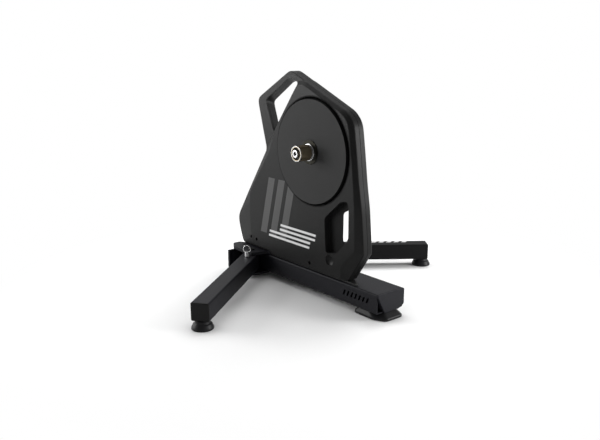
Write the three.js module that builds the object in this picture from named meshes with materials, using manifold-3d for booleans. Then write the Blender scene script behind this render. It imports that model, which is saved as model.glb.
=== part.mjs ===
// A direct drive bike trainer, in millimetres, +Z up.
// X runs along the floor beam towards its front foot, and the drive side faces -Y.
// While it is built, X = 0 is the hub axis and Y = 0 is the middle of the beam.
// The finished group is moved along X so that its box is centred on the origin.

import * as THREE from 'three';
import { mergeVertices } from 'three/addons/utils/BufferGeometryUtils.js';
import Module from 'manifold-3d';

const wasm = await Module();
wasm.setup();

// Gaps and overruns that many pieces share
const seatGap = 0.3;
const runningGap = 1;
const overrun = 5;

// Sides of round shapes
const wheelSides = 48;
const roundSides = 24;
const smallSides = 12;

// Hub and wheel-side dimensions
const axleHeight = 335;
const overLocknut = 135;
const casingOffset = 23;

// Floor beam
const beamWidth = 80;
const beamHeight = 44;
const beamTop = 59.5;
const beamFront = 207;
const beamWall = 3;
const beamCorner = 4;
const capThickness = 4;

// Casing slab, its raised middle and its reaches from the hub axis
const slabThickness = 26;
const podRise = 7;
const casingWall = 3;
const casingRear = 298.5;
const casingCrown = 172;
const casingShoulder = 8.5;
const flangeThickness = 6;
const flangeShowing = 3.7;

// Drive disc and belt drive
const discRadius = 117;
const discGap = 2.5;
const pulleyInset = 13;
const smallPulleyRadius = 14;
const beltThickness = 2.2;
const beltWidth = 15;
const shaftBack = 95;
const flywheelRadius = 95;
const flywheelLift = 35.5;

// Legs
const legWidth = 40;
const legTop = 59.3;
const legWall = 2.5;
const legCorner = 4;
const legLength = 360;
const legSweep = 37.4;
const pivotSpread = 62;
const pivotBack = 207.5;
const footInset = 14;
const webSetBack = 50.5;

const casingMid = -casingOffset;
const slabNear = casingMid - slabThickness / 2;
const slabFar = casingMid + slabThickness / 2;
const podNear = slabNear - podRise;
const podFar = slabFar + podRise;
const beamBottom = beamTop - beamHeight;
const legBottom = legTop - legWidth;
const plateThickness = 8;
const plateTop = beamTop + seatGap + plateThickness;
const casingBottom = beamTop + seatGap + flangeShowing;
const skirtBottom = plateTop + 2 * seatGap;
const casingFront = discRadius + discGap + casingShoulder;
const beamRear = pivotBack + webSetBack - seatGap;
const pulleyRadius = discRadius - pulleyInset;
const flywheelX = -shaftBack;
const flywheelZ = beamTop + flywheelLift + flywheelRadius;
const shaftDrop = axleHeight - flywheelZ;

const group = new THREE.Group();

// Solids from three.js geometries, and joins and cuts between them
function solid(geometry) {
  const bare = geometry.clone();
  bare.deleteAttribute('normal');
  bare.deleteAttribute('uv');
  const merged = mergeVertices(bare, 1e-4);
  const index = Array.from(merged.index.array);
  const kept = [];
  for (let i = 0; i < index.length; i += 3) {
    const [a, b, c] = index.slice(i, i + 3);
    if (a !== b && b !== c && c !== a) kept.push(a, b, c);
  }
  const vertProperties = Float32Array.from(merged.attributes.position.array);
  const bodyOf = (corners) => {
    const triVerts = Uint32Array.from(corners);
    return new wasm.Manifold(new wasm.Mesh({ numProp: 3, vertProperties, triVerts }));
  };
  const made = bodyOf(kept);
  if (made.volume() > 0) return made;
  const turned = [];
  for (let i = 0; i < kept.length; i += 3) turned.push(kept[i], kept[i + 2], kept[i + 1]);
  return bodyOf(turned);
}

function join(first, ...rest) {
  return rest.reduce((whole, next) => whole.add(next), first);
}

function cut(whole, ...tools) {
  return tools.reduce((left, tool) => left.subtract(tool), whole);
}

function geometryOf(made) {
  const mesh = made.getMesh();
  const geometry = new THREE.BufferGeometry();
  const places = [];
  for (let i = 0; i < mesh.numVert; i += 1) {
    for (let k = 0; k < 3; k += 1) places.push(mesh.vertProperties[i * mesh.numProp + k]);
  }
  geometry.setAttribute('position', new THREE.Float32BufferAttribute(places, 3));
  geometry.setIndex(Array.from(mesh.triVerts));
  geometry.computeVertexNormals();
  return geometry;
}

function piece(name, made, material, parent = group) {
  const mesh = new THREE.Mesh(geometryOf(made), material.clone());
  mesh.name = name;
  parent.add(mesh);
  return mesh;
}

// Plain shapes: outlines are lists of [across, up] points
function shapeOf(points, holes = []) {
  const shape = new THREE.Shape(points.map(([a, b]) => new THREE.Vector2(a, b)));
  holes.forEach((hole) => shape.holes.push(new THREE.Path(hole.map(([a, b]) => new THREE.Vector2(a, b)))));
  return shape;
}

function extruded(points, holes, depth) {
  return new THREE.ExtrudeGeometry(shapeOf(points, holes), { depth, bevelEnabled: false });
}

// An outline in X and Z, from yNear to yFar
function slab(points, yNear, yFar, holes = []) {
  const geometry = extruded(points, holes, yFar - yNear);
  geometry.rotateX(Math.PI / 2);
  geometry.translate(0, yFar, 0);
  return solid(geometry);
}

// An outline in X and Y, from zLow to zHigh
function plate(points, zLow, zHigh, holes = []) {
  const geometry = extruded(points, holes, zHigh - zLow);
  geometry.translate(0, 0, zLow);
  return solid(geometry);
}

// A section in Y and Z, from xLow to xHigh
function barX(points, xLow, xHigh, holes = []) {
  const geometry = extruded(points, holes, xHigh - xLow);
  const turn = new THREE.Matrix4();
  turn.makeBasis(new THREE.Vector3(0, 1, 0), new THREE.Vector3(0, 0, 1), new THREE.Vector3(1, 0, 0));
  geometry.applyMatrix4(turn);
  geometry.translate(xLow, 0, 0);
  return solid(geometry);
}

function block(xLow, xHigh, yLow, yHigh, zLow, zHigh) {
  const geometry = new THREE.BoxGeometry(xHigh - xLow, yHigh - yLow, zHigh - zLow);
  geometry.translate((xLow + xHigh) / 2, (yLow + yHigh) / 2, (zLow + zHigh) / 2);
  return solid(geometry);
}

// A profile of [radius, y] points turned about an axis along Y through (x, z)
function turnedY(profile, x, z, sides = roundSides) {
  const closed = [...profile, profile[0]];
  const geometry = new THREE.LatheGeometry(closed.map(([r, y]) => new THREE.Vector2(r, y)), sides);
  geometry.translate(x, 0, z);
  return solid(geometry);
}

// The same about an axis along Z through (x, y), with [radius, z] points
function turnedZ(profile, x, y, sides = roundSides) {
  const closed = [...profile, profile[0]];
  const geometry = new THREE.LatheGeometry(closed.map(([r, z]) => new THREE.Vector2(r, z)), sides);
  geometry.rotateX(Math.PI / 2);
  geometry.translate(x, y, 0);
  return solid(geometry);
}

function rodY(radius, yNear, yFar, x, z, sides = roundSides) {
  return turnedY([[0, yNear], [radius, yNear], [radius, yFar], [0, yFar]], x, z, sides);
}

function tubeY(outer, inner, yNear, yFar, x, z, sides = roundSides) {
  return turnedY([[inner, yNear], [outer, yNear], [outer, yFar], [inner, yFar]], x, z, sides);
}

function rodZ(radius, zLow, zHigh, x, y, sides = roundSides) {
  return turnedZ([[0, zLow], [radius, zLow], [radius, zHigh], [0, zHigh]], x, y, sides);
}

// Six-sided nuts with a round bore
function nutY(outer, bore, yNear, yFar, x, z) {
  return cut(rodY(outer, yNear, yFar, x, z, 6), rodY(bore, yNear - overrun, yFar + overrun, x, z));
}

function nutZ(outer, bore, zLow, zHigh, x, y) {
  return cut(rodZ(outer, zLow, zHigh, x, y, 6), rodZ(bore, zLow - overrun, zHigh + overrun, x, y));
}

// A body between two outlines of as many points; place gives the corner of a point at a height
function loft(outlineA, heightA, outlineB, heightB, place = ([x, z], y) => [x, y, z]) {
  const count = outlineA.length;
  const places = [];
  outlineA.forEach((point) => places.push(...place(point, heightA)));
  outlineB.forEach((point) => places.push(...place(point, heightB)));
  const index = [];
  for (let i = 0; i < count; i += 1) {
    const j = (i + 1) % count;
    index.push(i, j, count + i, j, count + j, count + i);
  }
  const flat = (points) => points.map(([a, b]) => new THREE.Vector2(a, b));
  const lid = (points, start, turned) => {
    const forward = THREE.ShapeUtils.area(flat(points)) > 0;
    THREE.ShapeUtils.triangulateShape(flat(points), []).forEach(([a, b, c]) => {
      const keep = forward !== turned;
      index.push(start + a, start + (keep ? c : b), start + (keep ? b : c));
    });
  };
  lid(outlineA, 0, false);
  lid(outlineB, count, true);
  const geometry = new THREE.BufferGeometry();
  geometry.setAttribute('position', new THREE.Float32BufferAttribute(places, 3));
  geometry.setIndex(index);
  return solid(geometry);
}

const standing = ([x, y], z) => [x, y, z];

// A round wire wound about the Z axis through (x, y)
function coil(radius, wire, turns, zLow, zHigh, x, y) {
  const sides = 5;
  const stepsPerTurn = 10;
  const steps = Math.round(turns * stepsPerTurn);
  const places = [];
  const index = [];
  for (let i = 0; i <= steps; i += 1) {
    const around = (2 * Math.PI * i) / stepsPerTurn;
    const height = THREE.MathUtils.lerp(zLow + wire, zHigh - wire, i / steps);
    for (let k = 0; k < sides; k += 1) {
      const turn = (2 * Math.PI * k) / sides;
      const reach = radius + wire * Math.cos(turn);
      places.push(x + reach * Math.cos(around));
      places.push(y + reach * Math.sin(around));
      places.push(height + wire * Math.sin(turn));
      if (i === steps) continue;
      const next = (k + 1) % sides;
      const here = i * sides;
      index.push(here + k, here + next, here + sides + k);
      index.push(here + next, here + sides + next, here + sides + k);
    }
  }
  for (let k = 1; k < sides - 1; k += 1) {
    const last = steps * sides;
    index.push(0, k + 1, k, last, last + k, last + k + 1);
  }
  const geometry = new THREE.BufferGeometry();
  geometry.setAttribute('position', new THREE.Float32BufferAttribute(places, 3));
  geometry.setIndex(index);
  return solid(geometry);
}

// The outline moved sideways by a distance, inwards where that is positive
function inset(points, distance) {
  const count = points.length;
  const turn = THREE.ShapeUtils.area(points.map(([a, b]) => new THREE.Vector2(a, b))) > 0 ? 1 : -1;
  return points.map((here, i) => {
    const before = points[(i + count - 1) % count];
    const after = points[(i + 1) % count];
    const inNormal = ([a0, b0], [a1, b1]) => {
      const length = Math.hypot(a1 - a0, b1 - b0);
      return [(-turn * (b1 - b0)) / length, (turn * (a1 - a0)) / length];
    };
    const n0 = inNormal(before, here);
    const n1 = inNormal(here, after);
    const scale = distance / (1 + n0[0] * n1[0] + n0[1] * n1[1]);
    return [here[0] + (n0[0] + n1[0]) * scale, here[1] + (n0[1] + n1[1]) * scale];
  });
}

// An outline with its sharp corners turned by arcs of the given radius
function rounded(points, radius, steps = 3) {
  const count = points.length;
  return points.flatMap((here, i) => {
    const before = new THREE.Vector2(...points[(i + count - 1) % count]);
    const after = new THREE.Vector2(...points[(i + 1) % count]);
    const corner = new THREE.Vector2(...here);
    const back = before.clone().sub(corner).normalize();
    const ahead = after.clone().sub(corner).normalize();
    const half = Math.acos(THREE.MathUtils.clamp(back.dot(ahead), -1, 1)) / 2;
    const reach = radius / Math.tan(half);
    const from = corner.clone().addScaledVector(back, reach);
    const to = corner.clone().addScaledVector(ahead, reach);
    const curve = new THREE.QuadraticBezierCurve(from, corner, to);
    return curve.getPoints(steps).map((point) => [point.x, point.y]);
  });
}

function rectangle(aLow, aHigh, bLow, bHigh) {
  return [[aLow, bLow], [aHigh, bLow], [aHigh, bHigh], [aLow, bHigh]];
}

// Finishes
function finish(color, roughness, metalness) {
  return new THREE.MeshStandardMaterial({ color, roughness, metalness });
}
const shellBlack = finish(0x38383a, 0.55, 0);
const discGrey = finish(0x3e3e3f, 0.5, 0.1);
const paintBlack = finish(0x323236, 0.45, 0.3);
const rubberBlack = finish(0x1f1f21, 0.85, 0);
const darkSteel = finish(0x3a332c, 0.35, 0.9);
const brightSteel = finish(0xc8c6c0, 0.25, 1);
const castAluminium = finish(0x9a9c9f, 0.5, 0.8);
const flywheelSteel = finish(0x55575b, 0.4, 0.9);
const beltRubber = finish(0x161617, 0.8, 0);
const boardGreen = finish(0x1f5a34, 0.6, 0);
const copperBrown = finish(0x7a4a2c, 0.5, 0.6);

// Casing outlines.
// Shares of the reach to the rear or front of the hub axis, and of the crown
// above it or the drop below it.
const casingDrop = axleHeight - casingBottom;
const acrossAt = (share) => share * (share < 0 ? casingRear : casingFront);
const upAt = (share) => axleHeight + share * (share < 0 ? casingDrop : casingCrown);
const outlineAt = (shares) => shares.map(([a, b]) => [acrossAt(a), upAt(b)]);

const slabFrontShares = [
  [1.245, -0.755], [1.258, -0.73], [1.242, -0.634], [1.188, -0.39], [1.113, -0.188], [1.07, -0.033],
  [1.023, 0.203], [0.988, 0.378], [0.93, 0.462], [0.812, 0.549],
];
const podFrontShares = [
  [1.078, -0.735], [1.094, -0.712], [1.094, -0.634], [1.074, -0.4], [1.035, -0.2], [0.996, -0.033],
  [0.945, 0.192], [0.91, 0.358], [0.858, 0.452], [0.727, 0.528],
];
const slabTopShares = [
  [-0.251, 1], [-0.295, 1], [-0.68, 0.628], [-0.69, 0.558], [-0.623, 0.151],
];
const slabRearShares = [
  [-0.583, -0.052], [-0.868, -0.516], [-0.991, -0.715], [-1, -0.766], [-0.985, -0.845], [-0.948, -0.958],
];
const frontToeShare = 0.898;
const skirtShares = [-0.931, -0.53];

const skirtStep = casingBottom + casingWall;
const skirtEnds = skirtShares.map(acrossAt);
const slabOutline = [
  [acrossAt(frontToeShare), casingBottom],
  ...outlineAt(slabFrontShares),
  ...outlineAt(slabTopShares),
  ...outlineAt(slabRearShares),
  [skirtEnds[0], skirtBottom],
  [skirtEnds[1], skirtBottom],
  [skirtEnds[1] + casingWall, casingBottom],
];

// The raised middle: where it leaves the slab, and its flat face
const podRootTopShares = [[-0.11, 0.894], [-0.158, 0.887], [-0.2, 0.872], [-0.408, 0.314], [-0.5, 0.134]];
const podFaceTopShares = [
  [-0.09, 0.835], [-0.137, 0.831], [-0.174, 0.808], [-0.402, 0.314], [-0.466, 0.145],
];
const podFaceRearShares = [
  [-0.513, -0.055], [-0.784, -0.453], [-0.797, -0.6], [-0.79, -0.766], [-0.784, -0.866], [-0.757, -0.94],
];
const podToeShare = 0.773;
const podToeRiseShare = -0.877;
const rootToeShare = 0.945;
const rootToeRiseShare = -0.967;
const podLip = 1;
const podSkirtLip = 4.5;

const podRoot = [
  [acrossAt(frontToeShare), casingBottom],
  [acrossAt(rootToeShare), upAt(rootToeRiseShare)],
  ...outlineAt(slabFrontShares),
  ...outlineAt(podRootTopShares),
  ...outlineAt(slabRearShares),
  [skirtEnds[0], skirtBottom],
  [skirtEnds[1], skirtBottom],
  [skirtEnds[1] + casingWall, casingBottom],
];
const podFace = [
  [acrossAt(podToeShare), casingBottom + podLip],
  [acrossAt(podToeShare), upAt(podToeRiseShare)],
  ...outlineAt(podFrontShares),
  ...outlineAt(podFaceTopShares),
  ...outlineAt(podFaceRearShares),
  [acrossAt(podFaceRearShares[5][0]) + podSkirtLip, skirtBottom + podSkirtLip],
  [skirtEnds[1] + podSkirtLip, skirtBottom + podSkirtLip],
  [skirtEnds[1] + 2 * podSkirtLip, casingBottom + podLip],
];

// Handle opening, at its near and far edges
const handleShares = [
  [-0.164, 0.848], [-0.235, 0.917], [-0.297, 0.928], [-0.584, 0.618], [-0.588, 0.575], [-0.486, 0.155],
  [-0.394, 0.316],
];
const handleFarShares = [
  [-0.17, 0.8], [-0.25, 0.85], [-0.335, 0.868], [-0.584, 0.588], [-0.594, 0.54], [-0.515, 0.155],
  [-0.394, 0.316],
];
const handleHole = outlineAt(handleShares);
const handleFarHole = outlineAt(handleFarShares);
const handleFlare = 4;
const handleThroat = 2;

// Hand window, the pocket behind its edge and the slot through the pocket's floor
const windowShares = [
  [0.39, -0.81], [0.656, -0.785], [0.94, -0.645], [0.94, -0.395], [0.91, -0.35], [0.86, -0.345],
  [0.75, -0.355], [0.36, -0.515], [0.35, -0.54],
];
const slotShares = [
  [0.7, -0.69], [0.78, -0.705], [0.875, -0.66], [0.875, -0.41], [0.82, -0.425], [0.7, -0.455],
];
const windowHole = outlineAt(windowShares);
const slotHole = outlineAt(slotShares);
const pocketDepth = 13;
const panelThickness = 2.5;
const scoopShare = [0.49, -0.862];
const scoopRadius = 13;
const scoopDepth = 6;

// Casing screws: places on the casing, and the sizes of one screw
const driveScrewShares = [[-0.785, -0.893], [-0.705, -0.9]];
const mastScrewShare = [-0.018, -0.945];
const farScrewShares = [[-0.83, -0.6], [1.039, -0.681]];
const screwHead = 4;
const screwShank = 2;
const screwHeadDepth = 2.5;
const screwSink = 3.5;
const screwBoss = 5.5;
const screwEnd = 3;
const driveScrews = outlineAt(driveScrewShares);
const [mastScrew] = outlineAt([mastScrewShare]);
const farScrews = outlineAt(farScrewShares);

// Backbone casting, between the pulley and the flywheel
const backboneThickness = 7;
const backboneNear = casingMid + 2;
const backboneFar = backboneNear + backboneThickness;
const mastFront = 15;
const mastRear = -125;
const mastTop = 30;
const backboneRound = 90;
const flangeRear = -140;
const flangeFront = 145;
const flangeTaper = 30;
const flangeInset = 2;
const axleBossRadius = 17;
const axleBossPad = 34;
const shaftBossRadius = 22;
const shaftBossLength = 19;

// Axle, bearings and freehub
const endCapLength = 8.2;
const endCapRadius = 11;
const driveCapRadius = 8.7;
const capSeat = 3.5;
const axleRadius = 6;
const skewerBore = 2.75;
const hubRadius = 22;
const hubFlange = 30;
const hubFlangeThickness = 2.7;
const hubFlangeShare = 0.65;
const bearingOuter = 14;
const bearingWidth = 8;
const bearingLip = 3;
const shaftRadius = 7.5;
const shaftBearingOuter = 16;
const shaftBearingWidth = 9;
const freehubRadius = 17.3;
const freehubBore = 13.5;
const freehubSplines = 9;
const splineDepth = 1.2;
const grooveShare = 0.28;
const collarRadius = 27;
const collarThickness = 1.7;
const ringRadius = 19;
const ringThickness = 2.7;
const washerBore = 8;
const discThickness = 3;
const discRim = 8;
const discProud = 5;
const discRound = 2.5;
const discBevel = 0.75;
const openingLip = 4;
const driveEnd = casingMid - overLocknut / 2;
const farEnd = casingMid + overLocknut / 2;

// Belt drive along Y
const discFace = podNear - discProud;
const pulleySide = 1;
const pulleyNear = casingMid - pulleySide - beltWidth;
const pulleyFar = casingMid - pulleySide + 2 * pulleySide;
const pulleyRim = 5;
const pulleyWeb = 4;
const pulleyFlange = 3;
const idlerRadius = 12;
const idlerStud = 4;
const idlerShare = 0.62;

// Flywheel and its housing
const flywheelWidth = 26;
const flywheelRim = 24;
const flywheelWeb = 8;
const flywheelHub = 20;
const nutRadius = 12;
const nutHeight = 3.5;
const drumWall = 3;
const drumGap = 5;
const drumFlange = 8;
const drumFlangeThickness = 3.5;
const drumLip = 3;
const drumChamfer = 8;
const ventCount = 10;
const ventLength = 34;
const ventWidth = 5;
const ventRadius = 68;
const flywheelNear = podFar + drumFlangeThickness;
const flywheelFar = flywheelNear + flywheelWidth;
const drumInner = flywheelRadius + drumGap;
const drumOuter = drumInner + drumWall;
const drumFar = flywheelFar + drumGap + drumWall;
const casingHoleRadius = discRadius + discGap;

// Brake magnets
const brakeInset = 9;
const brakeWidth = 36;
const brakeOuter = flywheelRadius - brakeInset;
const brakeInner = brakeOuter - brakeWidth;
const brakeStart = 205;
const brakeSpan = 100;
const brakeCoreThickness = 5;
const coilOuter = 13;
const coilInner = 7;
const brakeGap = 2;

// Circuit board and power socket
const boardInset = 43.5;
const boardLength = 60;
const boardTopGap = 10.6;
const boardFootGap = 5.9495;
const boardThickness = 1.6;
const boardRear = boardInset - casingRear;
const boardFront = boardRear + boardLength;
const boardHigh = farScrews[0][1] - screwBoss - boardTopGap;
const boardLow = driveScrews[0][1] + screwBoss + boardFootGap;
const postLength = 8;
const postRadius = 3.5;
const postInset = 5;
const socketRadius = 6.5;
const socketBore = 3;
const socketDepth = 9;
const socketProud = 1.2;
const socketInset = 12;

// Inside of one half of the casing, from the parting line to the inner faces
function casingCavity(yPart, ySlab, yPod) {
  const rootInside = inset(podRoot, casingWall);
  const faceInside = inset(podFace, casingWall);
  const side = Math.sign(yPod - yPart);
  const past = yPart - side * overrun;
  const tray = slab(rootInside, Math.min(past, ySlab), Math.max(past, ySlab));
  const rise = loft(rootInside, ySlab - side * seatGap, faceInside, yPod);
  return join(tray, rise);
}

// Walls that stand in the cavity: round the handle and the window, and the screw bosses
function casingWalls(yLow, yHigh, bosses) {
  return join(
    slab(inset(handleHole, -casingWall), yLow, yHigh),
    slab(inset(handleFarHole, -casingWall), yLow, yHigh),
    slab(inset(windowHole, -casingWall), yLow, yHigh),
    ...bosses.map(([x, z]) => rodY(screwBoss, yLow, yHigh, x, z, smallSides)),
  );
}

// Hole of the handle: it narrows towards the far side, and widens at both faces
function handleTool() {
  const nearThroat = inset(handleHole, handleThroat);
  const farThroat = inset(handleFarHole, handleThroat);
  const narrow = (outline) => inset(outline, handleFlare);
  const wide = (outline) => inset(outline, -handleFlare);
  return join(
    slab(nearThroat, podNear - overrun, slabNear + seatGap),
    loft(nearThroat, slabNear, farThroat, slabFar),
    slab(farThroat, slabFar - seatGap, podFar + overrun),
    loft(wide(handleHole), slabNear - handleFlare, narrow(handleHole), slabNear + handleFlare),
    loft(narrow(handleFarHole), slabFar - handleFlare, wide(handleFarHole), slabFar + handleFlare),
  );
}

const mastOpening = block(
  flangeRear - runningGap, mastFront + runningGap,
  slabNear + flangeInset - runningGap, slabFar - flangeInset + runningGap,
  casingBottom - overrun, casingBottom + casingWall + overrun,
);
const socketX = boardFront - socketInset;
const socketZ = boardLow + socketInset;
const boardNear = podFar - casingWall - postLength - boardThickness;

// Drive-side shell: slab half, raised middle, disc opening, window pocket and screw sinks
function driveShell() {
  const yPart = casingMid - seatGap / 2;
  const past = yPart + overrun;
  const front = podNear - overrun;
  const [scoopX, scoopZ] = outlineAt([scoopShare])[0];
  const outside = join(slab(slabOutline, slabNear, yPart), loft(podRoot, slabNear, podFace, podNear));
  const kept = join(
    casingWalls(front, past, [...driveScrews, mastScrew, ...farScrews]),
    tubeY(
      casingHoleRadius + casingWall, discRadius, front, podNear + openingLip, 0, axleHeight, wheelSides,
    ),
    rodY(scoopRadius + casingWall, front, podNear + scoopDepth + casingWall, scoopX, scoopZ),
  );
  const cavity = cut(casingCavity(yPart, slabNear + casingWall, podNear + casingWall), kept);
  const panel = podNear + pocketDepth;
  const scoop = new THREE.SphereGeometry(scoopRadius, 16, 8);
  scoop.scale(1, scoopDepth / scoopRadius, 1);
  scoop.translate(scoopX, podNear, scoopZ);
  return cut(
    outside,
    cavity,
    handleTool(),
    slab(windowHole, front, panel),
    slab(windowHole, panel + panelThickness, past),
    slab(slotHole, panel - overrun, past),
    rodY(casingHoleRadius, front, past, 0, axleHeight, wheelSides),
    solid(scoop),
    mastOpening,
    ...[...driveScrews, mastScrew].map(([x, z]) => join(
      rodY(screwHead + seatGap, front, podNear + screwSink + screwHeadDepth + seatGap, x, z, smallSides),
      rodY(screwShank + seatGap, front, past, x, z, smallSides),
    )),
    ...farScrews.map(([x, z]) => (
      rodY(screwShank + seatGap, slabNear + screwEnd - seatGap, past, x, z, smallSides)
    )),
  );
}
piece('drive_shell', driveShell(), shellBlack);

// Far-side shell: the same outline, open where the flywheel and the axle come through
function farShell() {
  const yPart = casingMid + seatGap / 2;
  const past = yPart - overrun;
  const back = podFar + overrun;
  const outside = join(slab(slabOutline, yPart, slabFar), loft(podRoot, slabFar, podFace, podFar));
  const posts = [boardRear + postInset, boardFront - postInset].flatMap((x) => (
    [boardLow + postInset, boardHigh - postInset].map((z) => (
      rodY(postRadius, boardNear + boardThickness + seatGap, back, x, z, smallSides)
    ))
  ));
  const kept = join(casingWalls(past, back, [...driveScrews, ...farScrews]), ...posts);
  const cavity = cut(casingCavity(yPart, slabFar - casingWall, podFar - casingWall), kept);
  return cut(
    outside,
    cavity,
    handleTool(),
    slab(windowHole, past, back),
    rodY(drumInner - drumLip, past, back, flywheelX, flywheelZ, wheelSides),
    rodY(axleBossRadius + runningGap, past, back, 0, axleHeight),
    rodY(socketRadius + seatGap, past, back, socketX, socketZ),
    mastOpening,
    ...farScrews.map(([x, z]) => join(
      rodY(screwHead + seatGap, podFar - screwSink - screwHeadDepth - seatGap, back, x, z, smallSides),
      rodY(screwShank + seatGap, past, back, x, z, smallSides),
    )),
    ...driveScrews.map(([x, z]) => (
      rodY(screwShank + seatGap, past, slabFar - screwEnd + seatGap, x, z, smallSides)
    )),
  );
}
piece('far_shell', farShell(), shellBlack);

// Casing screws, heads sunk below the face
function screw(face, tip, x, z) {
  const side = Math.sign(tip - face);
  const top = face + side * screwSink;
  const neck = top + side * screwHeadDepth;
  const profile = [
    [0, top], [screwHead, top], [screwHead, neck], [screwShank, neck], [screwShank, tip], [0, tip],
  ];
  return turnedY(profile, x, z, smallSides);
}
driveScrews.forEach(([x, z], i) => {
  piece(`drive_screw_${i + 1}`, screw(podNear, slabFar - screwEnd, x, z), darkSteel);
});
piece('mast_screw', screw(podNear, backboneFar, ...mastScrew), darkSteel);
farScrews.forEach(([x, z], i) => {
  piece(`far_screw_${i + 1}`, screw(podFar, slabNear + screwEnd, x, z), darkSteel);
});

// Backbone: mast, round plate, bosses for axle, shaft and idler, and the flange on the beam
const centres = Math.hypot(shaftBack, shaftDrop);
const toShaft = [-shaftBack / centres, -shaftDrop / centres];
const wrapCos = (pulleyRadius - smallPulleyRadius) / centres;
const wrap = Math.acos(wrapCos);
function strandNormal(sign) {
  const sine = sign * Math.sin(wrap);
  return [toShaft[0] * wrapCos + toShaft[1] * sine, toShaft[1] * wrapCos - toShaft[0] * sine];
}
const rearNormal = strandNormal(1);
const frontNormal = strandNormal(-1);
const idlerReach = THREE.MathUtils.lerp(pulleyRadius, smallPulleyRadius, idlerShare)
  + beltThickness + 2 * seatGap + idlerRadius;
const idlerX = rearNormal[0] * idlerReach - shaftBack * idlerShare;
const idlerZ = rearNormal[1] * idlerReach + axleHeight - shaftDrop * idlerShare;

function backbone() {
  const bottom = beamTop + seatGap;
  const mast = [
    [mastRear, bottom], [mastFront, bottom], [mastTop, axleHeight], [mastTop / 2, axleHeight + mastTop],
    [-mastTop / 2, axleHeight + mastTop], [-mastTop, axleHeight],
  ];
  const flangeNear = slabNear + flangeInset;
  const flangeFar = slabFar - flangeInset;
  const flange = plate(
    [[flangeRear, flangeNear], [mastFront, flangeNear], [mastFront, flangeFar], [flangeRear, flangeFar]],
    bottom,
    bottom + flangeThickness,
  );
  const toe = plate(
    [[mastFront - overrun, flangeNear], [flangeFront, flangeNear], [flangeFront - flangeTaper, flangeFar],
      [mastFront - overrun, flangeFar]],
    bottom,
    bottom + flangeShowing - seatGap,
  );
  const body = join(
    slab(mast, backboneNear, backboneFar),
    rodY(backboneRound, backboneNear, backboneFar, flywheelX, flywheelZ, wheelSides),
    rodY(axleBossPad, backboneNear, backboneFar, 0, axleHeight),
    rodY(axleBossRadius, backboneNear, farEnd - endCapLength, 0, axleHeight),
    rodY(shaftBossRadius, backboneNear, backboneNear + shaftBossLength, flywheelX, flywheelZ),
    rodY(idlerStud, pulleyNear, backboneFar, idlerX, idlerZ, smallSides),
    flange,
    toe,
  );
  return cut(
    body,
    rodY(axleRadius + seatGap, backboneNear - overrun, farEnd, 0, axleHeight),
    rodY(shaftBearingOuter + seatGap, backboneNear - overrun, backboneNear + shaftBossLength + overrun,
      flywheelX, flywheelZ),
    rodY(screwShank + seatGap, backboneNear - overrun, backboneFar + overrun, ...mastScrew, smallSides),
  );
}
piece('backbone', backbone(), castAluminium);

// Axle with its two end caps, hollow for the skewer
const axleNear = driveEnd + capSeat;
const axleFar = farEnd - capSeat;
piece('main_axle', tubeY(axleRadius, skewerBore, axleNear, axleFar, 0, axleHeight), brightSteel);

function endCap(outer, face, seat, rim) {
  const profile = [[skewerBore, face], [outer, face], [outer, rim], [axleRadius + seatGap, rim],
    [axleRadius + seatGap, seat], [skewerBore, seat]];
  return turnedY(profile, 0, axleHeight);
}
const driveRim = driveEnd + endCapLength;
const farRim = farEnd - endCapLength + seatGap;
piece('end_cap_drive', endCap(driveCapRadius, driveEnd, axleNear - seatGap, driveRim), brightSteel);
piece('end_cap_far', endCap(endCapRadius, farEnd, axleFar + seatGap, farRim), brightSteel);

// Hub core on two bearings
const coreNear = discFace;
const coreFar = pulleyFar;
const outerBearing = coreNear + runningGap;
const innerBearing = coreFar - runningGap / 2 - bearingWidth;
const flangeAt = THREE.MathUtils.lerp(pulleyNear, pulleyFar, hubFlangeShare);
const flangeEnd = flangeAt + hubFlangeThickness;
const coreProfile = [
  [bearingOuter + seatGap, coreNear], [hubRadius, coreNear], [hubRadius, flangeAt],
  [hubFlange, flangeAt], [hubFlange, flangeEnd], [hubRadius, flangeEnd],
  [hubRadius, coreFar], [bearingOuter + seatGap, coreFar], [bearingOuter + seatGap, innerBearing - seatGap],
  [bearingOuter - bearingLip, innerBearing - seatGap],
  [bearingOuter - bearingLip, outerBearing + bearingWidth + seatGap],
  [bearingOuter + seatGap, outerBearing + bearingWidth + seatGap],
];
piece('hub_core', turnedY(coreProfile, 0, axleHeight), castAluminium);

function bearing(outer, bore, near, width, x, z) {
  return tubeY(outer, bore + seatGap, near, near + width, x, z);
}
function axleBearing(name, outer, near) {
  piece(name, bearing(outer, axleRadius, near, bearingWidth, 0, axleHeight), brightSteel);
}
axleBearing('hub_bearing_outer', bearingOuter, outerBearing);
axleBearing('hub_bearing_inner', bearingOuter, innerBearing);

// Drive disc: a shallow turned dish with a rounded edge
const discProfile = [
  [hubRadius + seatGap, discFace], [discRadius - discRound, discFace],
  [discRadius - discBevel, discFace + discBevel], [discRadius, discFace + discRound],
  [discRadius, discFace + discRim], [discRadius - discThickness, discFace + discRim],
  [discRadius - discThickness, discFace + discThickness], [hubRadius + seatGap, discFace + discThickness],
];
piece('drive_disc', turnedY(discProfile, 0, axleHeight, wheelSides), discGrey);

// Belt pulley: a rim on a web
const webLow = flangeAt - seatGap - pulleyWeb;
const webHigh = flangeAt - seatGap;
const rimInside = pulleyRadius - pulleyRim;
const pulleyProfile = [
  [hubRadius + seatGap, webLow], [rimInside, webLow], [rimInside, pulleyNear], [pulleyRadius, pulleyNear],
  [pulleyRadius, pulleyFar], [rimInside, pulleyFar], [rimInside, webHigh], [hubRadius + seatGap, webHigh],
];
piece('belt_pulley', turnedY(pulleyProfile, 0, axleHeight, wheelSides), castAluminium);

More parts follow.
